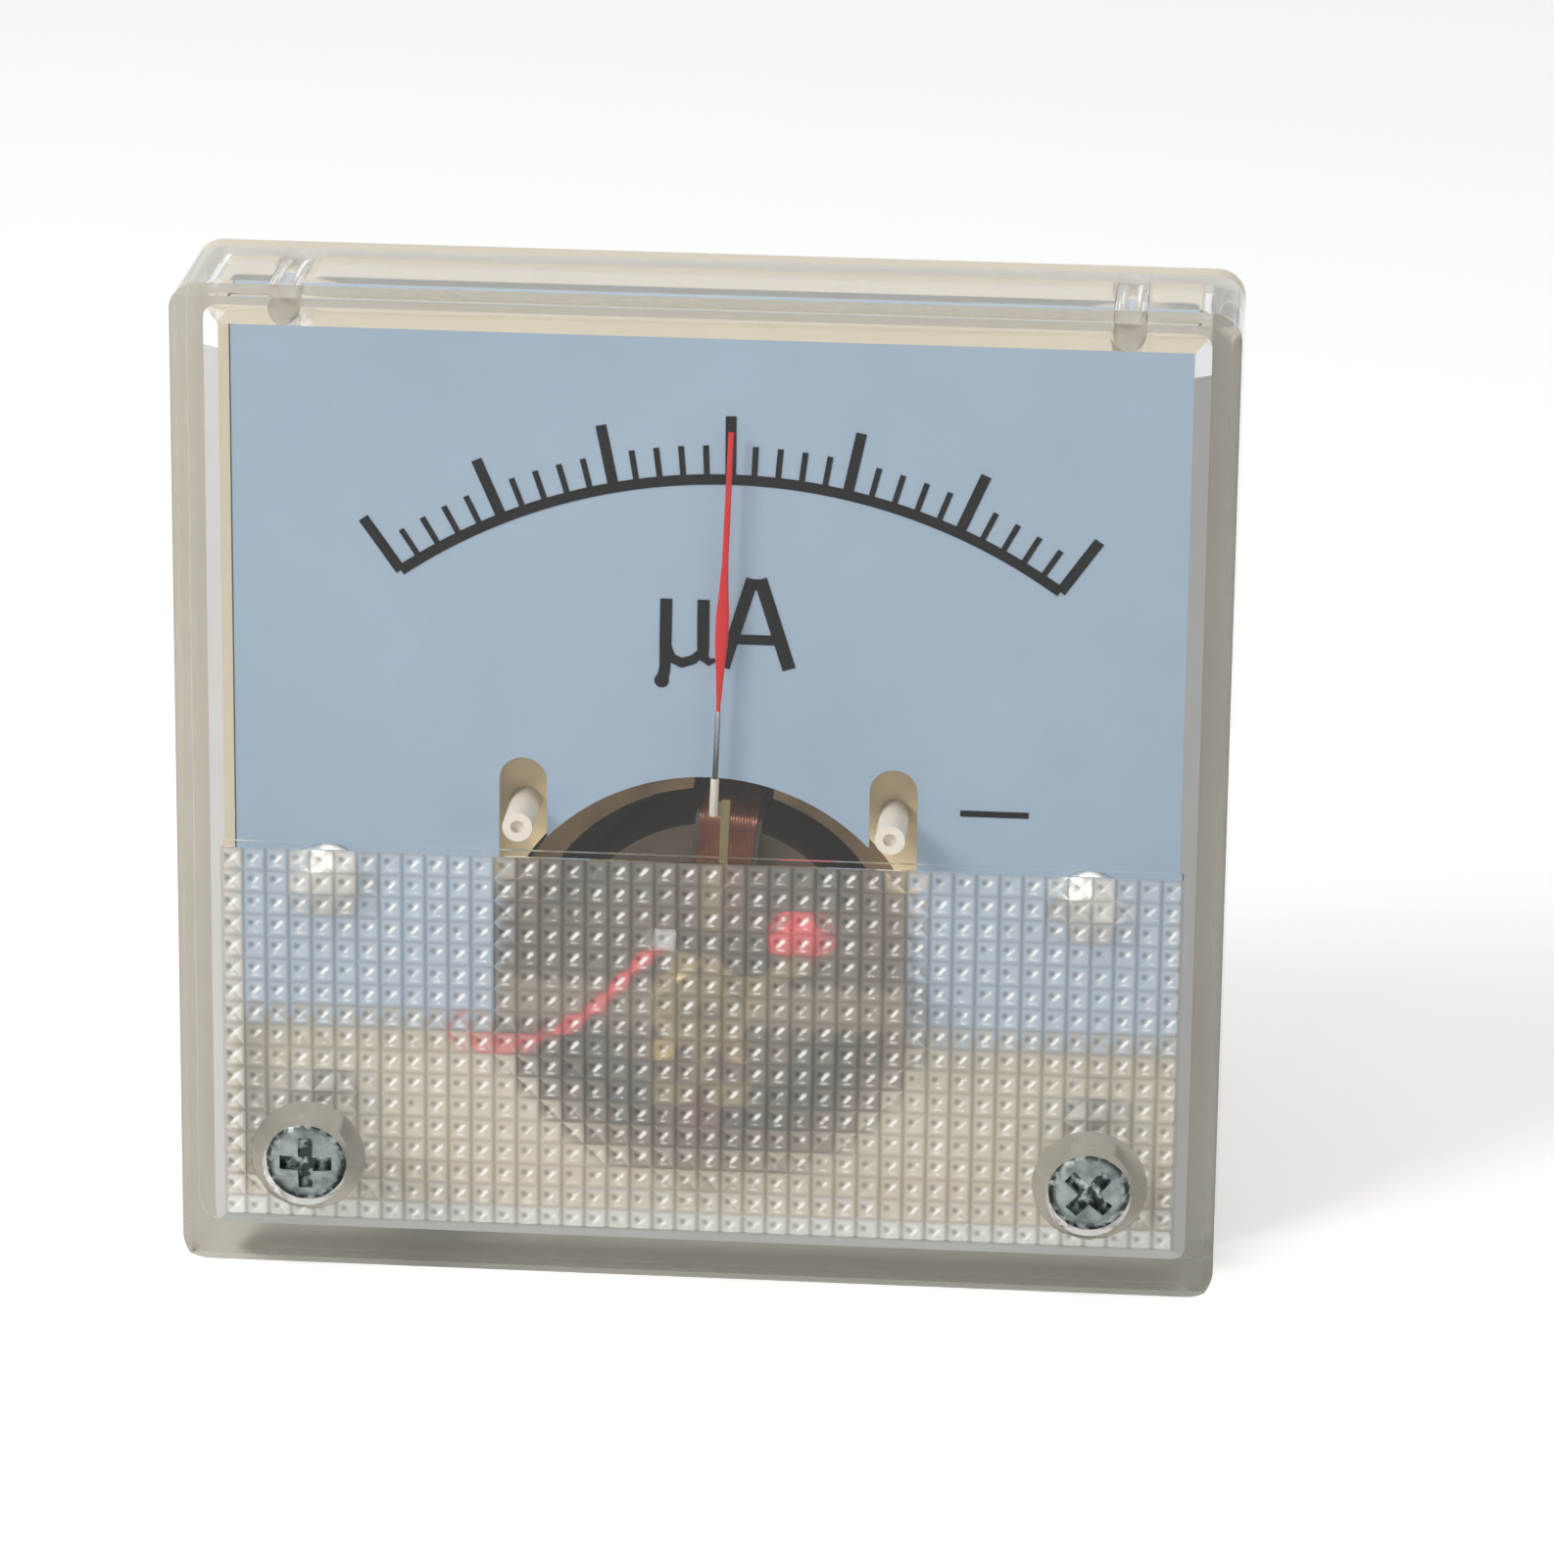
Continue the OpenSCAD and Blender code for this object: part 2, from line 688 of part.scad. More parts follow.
// Length of a pivot's pointed end, and the room left between its root and the jewel screw
point_len = 0.6;
point_room = 0.25;
jewel_front_end = coil_front_y - front_staff_len - point_room;
jewel_back_end = coil_back_y + rear_staff_len + point_room;
cup_depth = 0.42;
cup_r = staff_r * 0.7 + 0.09;

// One pivot along Y, pointing to -Y, seated on the coil at y = 0, its collet at y = collet_y
module pivot(staff_len, collet_y) {
    rod(0, 0, flange_r, -flange_h, 0);
    rod(0, 0, staff_r, -staff_len, -flange_h / 2);
    rod(0, 0, staff_r + collet_wall, collet_y - spring_w, collet_y);
    cone(0, 0, 0.04, staff_r * 0.7, -staff_len - point_len, -staff_len);
}

module front_pivot() {
    color([0.82, 0.72, 0.42]) translate([0, coil_front_y, pivot_z])
        pivot(front_staff_len, front_collet_y - coil_front_y);
}

module rear_pivot() {
    color([0.82, 0.72, 0.42]) translate([0, coil_back_y, pivot_z])
        mirror([0, 1, 0]) pivot(rear_staff_len, coil_back_y - rear_collet_y);
}

// A slotted jewel screw along Y with its cup at y = 0 and its head at -length
module jewel_screw(length) {
    difference() {
        rod(0, 0, jewel_r, -length, 0);
        cone(0, 0, 0.05, 2 * cup_r - 0.05, -cup_depth, cup_depth);
        slab(-length - over, -length + 0.35) square([3 * jewel_r, 0.3], center = true);
    }
}

front_ring_y = front_strap_y - slip - arm_t;
rear_ring_y = rear_strap_y + strap_t + slip + arm_t;
front_lock_y = front_ring_y - slip - lock_t;
rear_lock_y = rear_ring_y + slip;
jewel_front_y = front_lock_y - jewel_out;
jewel_back_y = rear_lock_y + lock_t + jewel_out;

module front_jewel_screw() {
    color([0.82, 0.7, 0.4]) translate([0, jewel_front_end, pivot_z])
        jewel_screw(jewel_front_end - jewel_front_y);
}

module rear_jewel_screw() {
    color([0.82, 0.7, 0.4]) translate([0, jewel_back_end, pivot_z])
        mirror([0, 1, 0]) jewel_screw(jewel_back_y - jewel_back_end);
}

module jewel_lock_nuts() {
    color([0.82, 0.7, 0.4]) for (y = [front_lock_y, rear_lock_y])
        hex_nut(0, pivot_z, lock_af, jewel_r, y, y + lock_t);
}

// A flat frame of the YZ plane around the core, grown outwards by g
module coil_outline(g, r) {
    y0 = coil_front_in - g;
    y1 = coil_back_in + g;
    translate([(y0 + y1) / 2, 0]) round_rect(y1 - y0, 2 * (former_in + g), r);
}

module coil_former() {
    color([0.72, 0.7, 0.66]) translate([0, 0, pivot_z]) rotate([0, coil_deg, 0]) {
        side_slab(former_w) difference() {
            coil_outline(former_t, 0.5);
            coil_outline(0, 0.3);
        }
        for (side = [-1, 1])
            translate([side * (former_w - former_rim) / 2, 0, 0]) side_slab(former_rim) difference() {
                coil_outline(former_t + winding_t * 0.7, 0.7);
                coil_outline(former_t / 2, 0.4);
            }
    }
}

module coil_winding() {
    color([0.6, 0.28, 0.18]) translate([0, 0, pivot_z]) rotate([0, coil_deg, 0])
        side_slab(former_w - 2 * former_rim - slip) difference() {
            coil_outline(former_t + winding_t, 0.9);
            coil_outline(former_t, 0.5);
        }
}

// ---- Pointer ----

carrier_y = coil_front_y - 2.3;
root_r = 8.2;
wire_from = 9.9;
blade_from = 12.4;
// The blade widens up to wide_from, stays wide to wide_to and is narrow again from tip_from
wide_from = blade_from + 4.4;
wide_to = blade_from + 6.8;
tip_from = blade_from + 8.9;
carrier_hub_r = 1.2;
// The carrier's plate above its hub, and the narrow neck that reaches up to the pointer's root
plate_w = 0.95;
plate_h = 6;
neck_w = 0.38;
neck_from = 5;
carrier_left = -0.2;
root_tab_w = 0.9;
root_tab_h = 0.7;
balance_arm_w = 0.5;

module pointer() {
    axis_y = carrier_y - sleeve_r;
    color([0.83, 0.16, 0.14]) translate([0, 0, pivot_z]) rotate([0, rest_lean, 0]) {
        slab(axis_y - blade_t / 2, axis_y + blade_t / 2) polygon([
            [-tube_r * 0.9, blade_from - 0.6], [-blade_w / 2, wide_from], [-blade_w / 2, wide_to],
            [-tip_w / 2, tip_from], [-tip_w / 2, pointer_len], [tip_w / 2, pointer_len],
            [tip_w / 2, tip_from], [blade_w / 2, wide_to], [blade_w / 2, wide_from],
            [tube_r * 0.9, blade_from - 0.6]
        ]);
        translate([0, axis_y, root_r]) cylinder(h = blade_from - root_r, r = tube_r);
        translate([0, axis_y, root_r]) cylinder(h = wire_from - root_r, r = sleeve_r);
    }
}

// The brass stamping that carries the pointer and the balance weights
module pointer_carrier() {
    neck_left = carrier_left + root_tab_w - neck_w;
    color([0.72, 0.6, 0.33]) translate([0, 0, pivot_z]) rotate([0, rest_lean, 0])
        slab(carrier_y, carrier_y + carrier_t) difference() {
            union() {
                circle(r = carrier_hub_r);
                translate([carrier_left, 0]) square([plate_w, plate_h]);
                translate([neck_left, neck_from]) square([neck_w, root_r - neck_from + root_tab_h]);
                translate([carrier_left, root_r - loose]) square([root_tab_w, root_tab_h]);
                for (a = [-120, -60])
                    rotate(a) translate([0, -balance_arm_w / 2]) square([balance_len, balance_arm_w]);
            }
            circle(r = staff_r);
        }
}

module balance_weights() {
    color([0.8, 0.68, 0.36]) translate([0, carrier_y + carrier_t / 2, pivot_z])
        for (a = [30, -30])
            rotate([0, a + rest_lean, 0]) translate([0, 0, -balance_len + 0.2]) difference() {
                cylinder(h = 0.9, r = 0.5);
                translate([-0.25, -carrier_t / 2, -over]) cube([0.5, carrier_t, 3]);
            }
}

// ---- Hairsprings and their arms ----

// A flat spiral strip from radius r0 to r1 over the given turns, ending at angle a_end
module spiral(r0, r1, turns, a_end, t) {
    steps = ceil(turns * 20);
    function at(i, off) = let (f = i / steps, a = a_end - (1 - f) * turns * 360, r = r0 + (r1 - r0) * f + off)
        [r * cos(a), r * sin(a)];
    polygon(concat([for (i = [0 : steps]) at(i, t / 2)], [for (i = [steps : -1 : 0]) at(i, -t / 2)]));
}

spring_in = staff_r + collet_wall + loose;

fork_drop = 3.4;
fork_w = 4.4;
fork_h = 1.2;
fork_slot = 0.9;

// The arm of one hairspring: ring, arm, and a lug bent back to the spring at y = drop
module spring_arm(reach, drop) {
    lug_t = 0.3;
    slab(0, arm_t) difference() {
        union() {
            circle(r = jewel_r + 0.9);
            rotate(90 - arm_deg) translate([0, -arm_w / 2]) square([reach + lug_t, arm_w]);
        }
        circle(r = jewel_r + 0.05);
    }
    rotate([0, arm_deg - 90, 0])
        translate([reach, 0, -arm_w / 2]) cube([lug_t, drop, arm_w]);
}

module zero_adjuster() {
    color([0.74, 0.62, 0.34]) translate([0, front_ring_y, pivot_z]) {
        spring_arm(front_spring_r + spring_t / 2, front_collet_y - front_ring_y);
        slab(0, arm_t) difference() {
            union() {
                translate([-arm_w / 2, -fork_drop]) square([arm_w, fork_drop - jewel_r - loose]);
                translate([-fork_w / 2, -fork_drop - fork_h]) square([fork_w, fork_h + loose]);
            }
            translate([-fork_slot / 2, -fork_drop - fork_h - loose]) square([fork_slot, fork_h * 0.8]);
        }
    }
}

module front_hairspring() {
    color([0.7, 0.62, 0.45]) translate([0, 0, pivot_z]) slab(front_collet_y - spring_w, front_collet_y)
        spiral(spring_in, front_spring_r, 4, 90 - arm_deg, spring_t);
}

module rear_spring_arm() {
    color([0.74, 0.62, 0.34]) translate([0, rear_ring_y, pivot_z])
        mirror([0, 1, 0]) spring_arm(rear_spring_r + spring_t / 2, rear_ring_y - rear_collet_y);
}

module rear_hairspring() {
    color([0.7, 0.62, 0.45]) translate([0, 0, pivot_z]) slab(rear_collet_y, rear_collet_y + spring_w)
        spiral(spring_in, rear_spring_r, 4, 90 - arm_deg, spring_t);
}

// ---- Terminals ----

tag_t = 0.4;
tongue_len = 8;
tongue_r = 0.7;
tongue_hole_r = 0.35;
washer_y = body_depth;
nut_y = washer_y + washer_t;
tag_y = nut_y + nut_t;
outer_washer_y = tag_y + tag_t;
outer_nut_y = outer_washer_y + washer_t;
terminal_head_h = 1;

module threaded_stud(x, z, r, y0, y1) {
    bevel = r * 0.25;
    rod(x, z, r, y0, y1 - bevel);
    cone(x, z, r, r - bevel, y1 - bevel, y1);
}

module terminal_studs() {
    color([0.83, 0.7, 0.4]) for (side = [-1, 1]) {
        rod(side * terminal_x, pivot_z, terminal_r + 0.25, floor_y - terminal_head_h, floor_y);
        threaded_stud(side * terminal_x, pivot_z, terminal_r,
            floor_y - terminal_head_h / 2, body_depth + terminal_out);
    }
}

// A ring tag around a stud, its tongue hanging down
module tag(x, z, r_out, r_in, y0, y1) {
    translate([x, 0, z]) slab(y0, y1) difference() {
        union() {
            circle(r = r_out);
            round_bar([0, 0], [0, -tongue_len], tongue_r);
        }
        circle(r = r_in);
        translate([0, -tongue_len]) circle(r = tongue_hole_r);
    }
}

module terminal_washers() {
    color([0.85, 0.83, 0.78]) for (side = [-1, 1], y = [washer_y, outer_washer_y])
        washer(side * terminal_x, pivot_z, washer_r, terminal_r + loose, y, y + washer_t);
}

module terminal_nuts() {
    color([0.83, 0.7, 0.4]) for (side = [-1, 1], y = [nut_y, outer_nut_y])
        hex_nut(side * terminal_x, pivot_z, nut_af, terminal_r, y, y + nut_t);
}

module solder_lugs() {
    color([0.86, 0.86, 0.84]) for (side = [-1, 1])
        tag(side * terminal_x, pivot_z, washer_r * 0.95, terminal_r + loose, tag_y, tag_y + tag_t);
}

// ---- Mounting studs ----

mount_washer_y = panel_room;
mount_nut_y = mount_washer_y + washer_t;

module mounting_studs() {
    color([0.75, 0.76, 0.77]) for (side = [-1, 1]) {
        rod(side * stud_spacing / 2, 0, stud_head_r, dial_back_y, dial_back_y + stud_head_h);
        rod(side * stud_spacing / 2, 0, stud_knurl_r, dial_back_y + stud_head_h / 2, 0);
        rod(side * stud_spacing / 2, 0, stud_shoulder_r, -stud_head_h / 2, stud_shoulder_h);
        threaded_stud(side * stud_spacing / 2, 0, stud_r, stud_shoulder_h / 2, stud_out);
    }
}

module mounting_washers() {
    color([0.8, 0.81, 0.82]) for (side = [-1, 1])
        washer(side * stud_spacing / 2, 0, washer_r, stud_r + loose,
            mount_washer_y, mount_washer_y + washer_t);
}

module mounting_nuts() {
    color([0.78, 0.79, 0.8]) for (side = [-1, 1])
        hex_nut(side * stud_spacing / 2, 0, nut_af, stud_r, mount_nut_y, mount_nut_y + nut_t);
}

// ---- Leads ----

lead_r = 0.28;
lead_sides = 8;

// A point on a smooth curve through four control points
function spline(p0, p1, p2, p3, t) =
    0.5 * (2 * p1 + (p2 - p0) * t + (2 * p0 - 5 * p1 + 4 * p2 - p3) * t * t
        + (3 * p1 - p0 - 3 * p2 + p3) * t * t * t);

// A smooth route through the points, with the given rings between neighbours
function route(points, rings) = let (last = len(points) - 1) concat(
    [for (i = [0 : last - 1], k = [0 : rings - 1])
        spline(points[max(i - 1, 0)], points[i], points[i + 1], points[min(i + 2, last)], k / rings)],
    [points[last]]);

function unit(v) = v / norm(v);

// A tube swept along a route, its rings square to the route's direction
module swept_tube(path, r) {
    last = len(path) - 1;
    way = [for (i = [0 : last]) unit(path[min(i + 1, last)] - path[max(i - 1, 0)])];
    side_of = [for (w = way) unit(cross(w, abs(w[1]) > 0.9 ? [1, 0, 0] : [0, 1, 0]))];
    ring = [for (i = [0 : last], k = [0 : lead_sides - 1])
        let (a = 360 * k / lead_sides, u = side_of[i], v = cross(way[i], u))
            path[i] + r * (cos(a) * u + sin(a) * v)];
    walls = [for (i = [0 : last - 1], k = [0 : lead_sides - 1])
        let (n = (k + 1) % lead_sides, a = i * lead_sides, b = a + lead_sides)
            [a + k, a + n, b + n, b + k]];
    start_cap = [[for (k = [lead_sides - 1 : -1 : 0]) k]];
    end_cap = [[for (k = [0 : lead_sides - 1]) last * lead_sides + k]];
    polyhedron(points = ring, faces = concat(walls, start_cap, end_cap));
}

// Routes of the leads, from the movement to the terminals, measured from the pivot axis
front_route = [
    [-1.6, front_strap_y - lead_r, 2.7], [-2.7, -5.5, 2], [-4.4, -5.4, 0], [-6.6, -4.8, -1.6],
    [-9.4, -3.4, -2.7], [-11.6, -1.8, -2.2], [-13, -1, -1], [-15, 2, -0.8],
    [-terminal_x + 0.3, floor_y - 5.9, -0.4], [-terminal_x, floor_y - terminal_head_h, 0]
];
rear_route = [
    [2.5, rear_ring_y + lead_r, 1.2], [5, floor_y - 0.9, 1.6], [9, floor_y - 1, 1.57],
    [12.5, floor_y - 1.4, 1.57], [14.6, floor_y - 2.6, 1.4], [terminal_x - 0.4, floor_y - 3.4, 0.8],
    [terminal_x, floor_y - terminal_head_h, 0]
];

module front_lead() {
    color([0.75, 0.1, 0.12]) translate([0, 0, pivot_z]) swept_tube(route(front_route, 3), lead_r);
}

module rear_lead() {
    color([0.75, 0.1, 0.12]) translate([0, 0, pivot_z]) swept_tube(route(rear_route, 3), lead_r);
}

front_cover();
cover_screws();
base_housing();
dial_plate();
dial_screws();
stop_pins();
stop_sleeves();
core_magnet();
core_spacers();
yoke_ring();
front_bridge();
rear_bridge();
bridge_screws();
movement_screws();
front_jewel_screw();
rear_jewel_screw();
jewel_lock_nuts();
coil_former();
coil_winding();
front_pivot();
rear_pivot();
pointer();
pointer_carrier();
balance_weights();
front_hairspring();
rear_hairspring();
zero_adjuster();
rear_spring_arm();
terminal_studs();
terminal_washers();
terminal_nuts();
solder_lugs();
mounting_studs();
mounting_washers();
mounting_nuts();
front_lead();
rear_lead();
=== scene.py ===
"""Looks of the analog panel meter: materials, dial print, threads, solder, light and camera."""

import math

import bmesh
import bpy
from mathutils import Matrix, Vector, noise


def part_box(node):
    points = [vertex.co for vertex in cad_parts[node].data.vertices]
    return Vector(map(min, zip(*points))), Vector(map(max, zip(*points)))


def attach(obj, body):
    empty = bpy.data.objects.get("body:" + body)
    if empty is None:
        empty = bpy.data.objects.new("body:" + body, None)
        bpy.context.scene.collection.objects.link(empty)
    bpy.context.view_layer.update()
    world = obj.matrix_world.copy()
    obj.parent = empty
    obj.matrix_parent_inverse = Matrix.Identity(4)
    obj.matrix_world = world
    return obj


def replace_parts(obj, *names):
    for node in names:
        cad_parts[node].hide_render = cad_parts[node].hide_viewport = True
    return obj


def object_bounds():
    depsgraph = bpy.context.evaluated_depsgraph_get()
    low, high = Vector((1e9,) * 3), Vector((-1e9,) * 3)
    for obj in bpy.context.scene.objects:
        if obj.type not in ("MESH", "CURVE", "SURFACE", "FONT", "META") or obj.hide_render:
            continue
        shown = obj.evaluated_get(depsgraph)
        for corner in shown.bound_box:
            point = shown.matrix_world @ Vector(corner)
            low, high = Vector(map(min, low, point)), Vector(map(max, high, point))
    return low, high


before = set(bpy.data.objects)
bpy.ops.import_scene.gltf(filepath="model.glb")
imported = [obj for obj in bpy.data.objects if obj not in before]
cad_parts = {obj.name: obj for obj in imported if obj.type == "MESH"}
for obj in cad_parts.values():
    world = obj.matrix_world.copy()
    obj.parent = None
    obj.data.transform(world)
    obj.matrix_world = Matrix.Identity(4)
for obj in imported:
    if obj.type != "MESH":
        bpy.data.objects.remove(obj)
cad_lo, cad_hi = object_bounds()

MM = 0.001
TAU = 2 * math.pi

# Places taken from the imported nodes
cover_lo, cover_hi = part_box("front_cover")
screw_lo, screw_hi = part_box("cover_screws")
core_lo, core_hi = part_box("core_magnet")
BEZEL = Vector(((cover_lo.x + cover_hi.x) / 2, cover_lo.y, (cover_lo.z + cover_hi.z) / 2))
PIVOT = Vector(((core_lo.x + core_hi.x) / 2, 0, (core_lo.z + core_hi.z) / 2))
DIAL_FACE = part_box("dial_plate")[0].y
SCREW_HEAD_R = 1.75 * MM
COVER_SCREW = ((screw_hi.x - screw_lo.x) / 2 - SCREW_HEAD_R, (screw_lo.z + screw_hi.z) / 2)
INK_LIFT = 0.03 * MM

# ---- Materials ----


class Shader:
    """A small helper that builds one procedural material."""

    def __init__(self, name):
        self.mat = bpy.data.materials.new(name)
        self.mat.use_nodes = True
        self.tree = self.mat.node_tree
        self.bsdf = self.tree.nodes["Principled BSDF"]
        self.where = self.tree.nodes.new("ShaderNodeTexCoord").outputs["Object"]

    def node(self, kind, **sockets):
        n = self.tree.nodes.new("ShaderNode" + kind)
        for key, value in sockets.items():
            if key in n.inputs:
                self.put(n.inputs[key], value)
            else:
                setattr(n, key, value)
        return n

    def put(self, socket, value):
        if isinstance(value, bpy.types.NodeSocket):
            self.tree.links.new(value, socket)
        else:
            socket.default_value = value

    def set(self, **sockets):
        for key, value in sockets.items():
            self.put(self.bsdf.inputs[key.replace("_", " ")], value)
        return self

    def stretched(self, scale):
        m = self.node("Mapping", Vector=self.where)
        m.inputs["Scale"].default_value = scale
        return m.outputs["Vector"]

    def noise(self, scale, detail=3.0, rough=0.5, where=None):
        n = self.node("TexNoise", Vector=where or self.where)
        n.inputs["Scale"].default_value = scale
        n.inputs["Detail"].default_value = detail
        n.inputs["Roughness"].default_value = rough
        return n.outputs["Fac"]

    def ramp(self, fac, stops):
        r = self.node("ValToRGB", Fac=fac)
        band = r.color_ramp
        while len(band.elements) < len(stops):
            band.elements.new(0.5)
        for e, (at, colour) in zip(band.elements, stops):
            e.position = at
            e.color = colour if len(colour) == 4 else (*colour, 1)
        return r.outputs["Color"]

    def span(self, fac, lo, hi, from_lo=0.0, from_hi=1.0):
        m = self.node("MapRange", Value=fac)
        m.inputs["From Min"].default_value = from_lo
        m.inputs["From Max"].default_value = from_hi
        m.inputs["To Min"].default_value = lo
        m.inputs["To Max"].default_value = hi
        return m.outputs["Result"]

    def math(self, op, a, b=0.0):
        m = self.node("Math", operation=op)
        self.put(m.inputs[0], a)
        self.put(m.inputs[1], b)
        return m.outputs[0]

    def blend(self, factor, a, b):
        """Colour a where factor is 0, colour b where it is 1."""
        m = self.node("Mix", data_type="RGBA")
        # The node keeps number, vector and colour sockets side by side; these are the colour ones
        colour_a, colour_b, mixed = 6, 7, 2
        self.put(m.inputs["Factor"], factor)
        self.put(m.inputs[colour_a], a)
        self.put(m.inputs[colour_b], b)
        return m.outputs[mixed]

    def inside(self, *bounds):
        """1 where every (value, op, bound) holds, else 0."""
        held = self.math(bounds[0][1], bounds[0][0], bounds[0][2])
        for value, op, bound in bounds[1:]:
            held = self.math("MULTIPLY", held, self.math(op, value, bound))
        return held

    def from_pivot(self):
        """Distance from the pivot's axis, in metres."""
        at = self.node("SeparateXYZ", Vector=self.where)
        dx = self.math("SUBTRACT", at.outputs["X"], PIVOT.x)
        dz = self.math("SUBTRACT", at.outputs["Z"], PIVOT.z)
        square = self.math("ADD", self.math("MULTIPLY", dx, dx), self.math("MULTIPLY", dz, dz))
        return self.math("SQRT", square)

    def steps(self, value, stops, soft=0.0001):
        """Colours by a length in metres: each (from, colour) holds up to the next one's start."""
        reach = stops[-1][0] * 1.25
        marks = [(0.0, stops[0][1])]
        for (_, before), (start, colour) in zip(stops, stops[1:]):
            marks += [((start - soft) / reach, before), ((start + soft) / reach, colour)]
        return self.ramp(self.span(value, 0, 1, 0, reach), marks)

    def bump(self, height, strength, distance=0.00005):
        b = self.node("Bump", Height=height)
        b.inputs["Strength"].default_value = strength
        b.inputs["Distance"].default_value = distance
        self.tree.links.new(b.outputs["Normal"], self.bsdf.inputs["Normal"])
        return self


def linear(r, g, b):
    """A colour read as 0 to 255, as Blender wants it."""
    return tuple(((v / 255 + 0.055) / 1.055) ** 2.4 if v > 10.3 else v / 255 / 12.92 for v in (r, g, b))


# Stretch of the drawn lines on metal
DRAWN_ALONG_X = (400, 9000, 9000)


def shade(colour, factor):
    return tuple(min(1.0, c * factor) for c in colour)


def varied(name, colour, spread, scale, rough, metallic=0.0, bump=0.1, gloss=0.5):
    """A plain surface with soft colour variation, uneven gloss and a fine grain."""
    s = Shader(name)
    s.bsdf.inputs["Specular IOR Level"].default_value = gloss
    patches = s.noise(scale, 4.0)
    fine = s.noise(6000.0, 2.0)
    s.set(
        Base_Color=s.ramp(patches, [(0.3, shade(colour, 1 - spread)), (0.7, shade(colour, 1 + spread))]),
        Metallic=metallic,
        Roughness=s.span(fine, rough * 0.85, min(1.0, rough * 1.2)),
    )
    s.bump(fine, bump)
    return s.mat


def metal(name, colour, rough):
    """Bare or plated metal with fine drawn lines."""
    s = Shader(name)
    lines = s.noise(1.0, 3.0, 0.6, s.stretched(DRAWN_ALONG_X))
    cloud = s.noise(700.0, 3.0)
    s.set(
        Base_Color=s.ramp(cloud, [(0.3, shade(colour, 0.86)), (0.7, shade(colour, 1.1))]),
        Metallic=1.0,
        Roughness=s.span(lines, rough * 0.7, rough * 1.35),
    )
    s.bump(lines, 0.1, 0.02 * MM)
    return s.mat


# The prism band on the cover's inner face, as the part's source has it
BAND_HALF_W = 20.8 * MM
BAND_TOP, BAND_BOTTOM = BEZEL.z - 3.2 * MM, BEZEL.z - 20.3 * MM
COLUMNS, ROWS = 42, 17
INNER_FACE = cover_lo.y + 1.6 * MM
PRISM_REACH = 0.2 * MM
CHAMFER_REACH = 0.75 * MM
CHAMFER_LEAN = 0.707
# How near a point lies to a face of the cover to count as on it
ON_FACE, ON_WALL = 0.05 * MM, 0.1 * MM
# How much of the light the prism band scatters; the rest goes straight through
MILKY = 0.16
# Below real plastic's, about 1.5, so that the pale floor's reflection doesn't grey the black print
CLEAR_IOR = 1.32
WALL_TINT = (0.76, 0.79, 0.86, 1)
RIM_TINT = (0.72, 0.8, 1.0, 1)
# Painted shade that greys the inner chamfers
CHAMFER_PAINTED_SHADE = (0.42, 0.415, 0.4, 1)
# Painted shade for the prism cells' spots, valleys and ledges
PAINTED_CELL_SHADE = (0.25, 0.24, 0.225, 1)


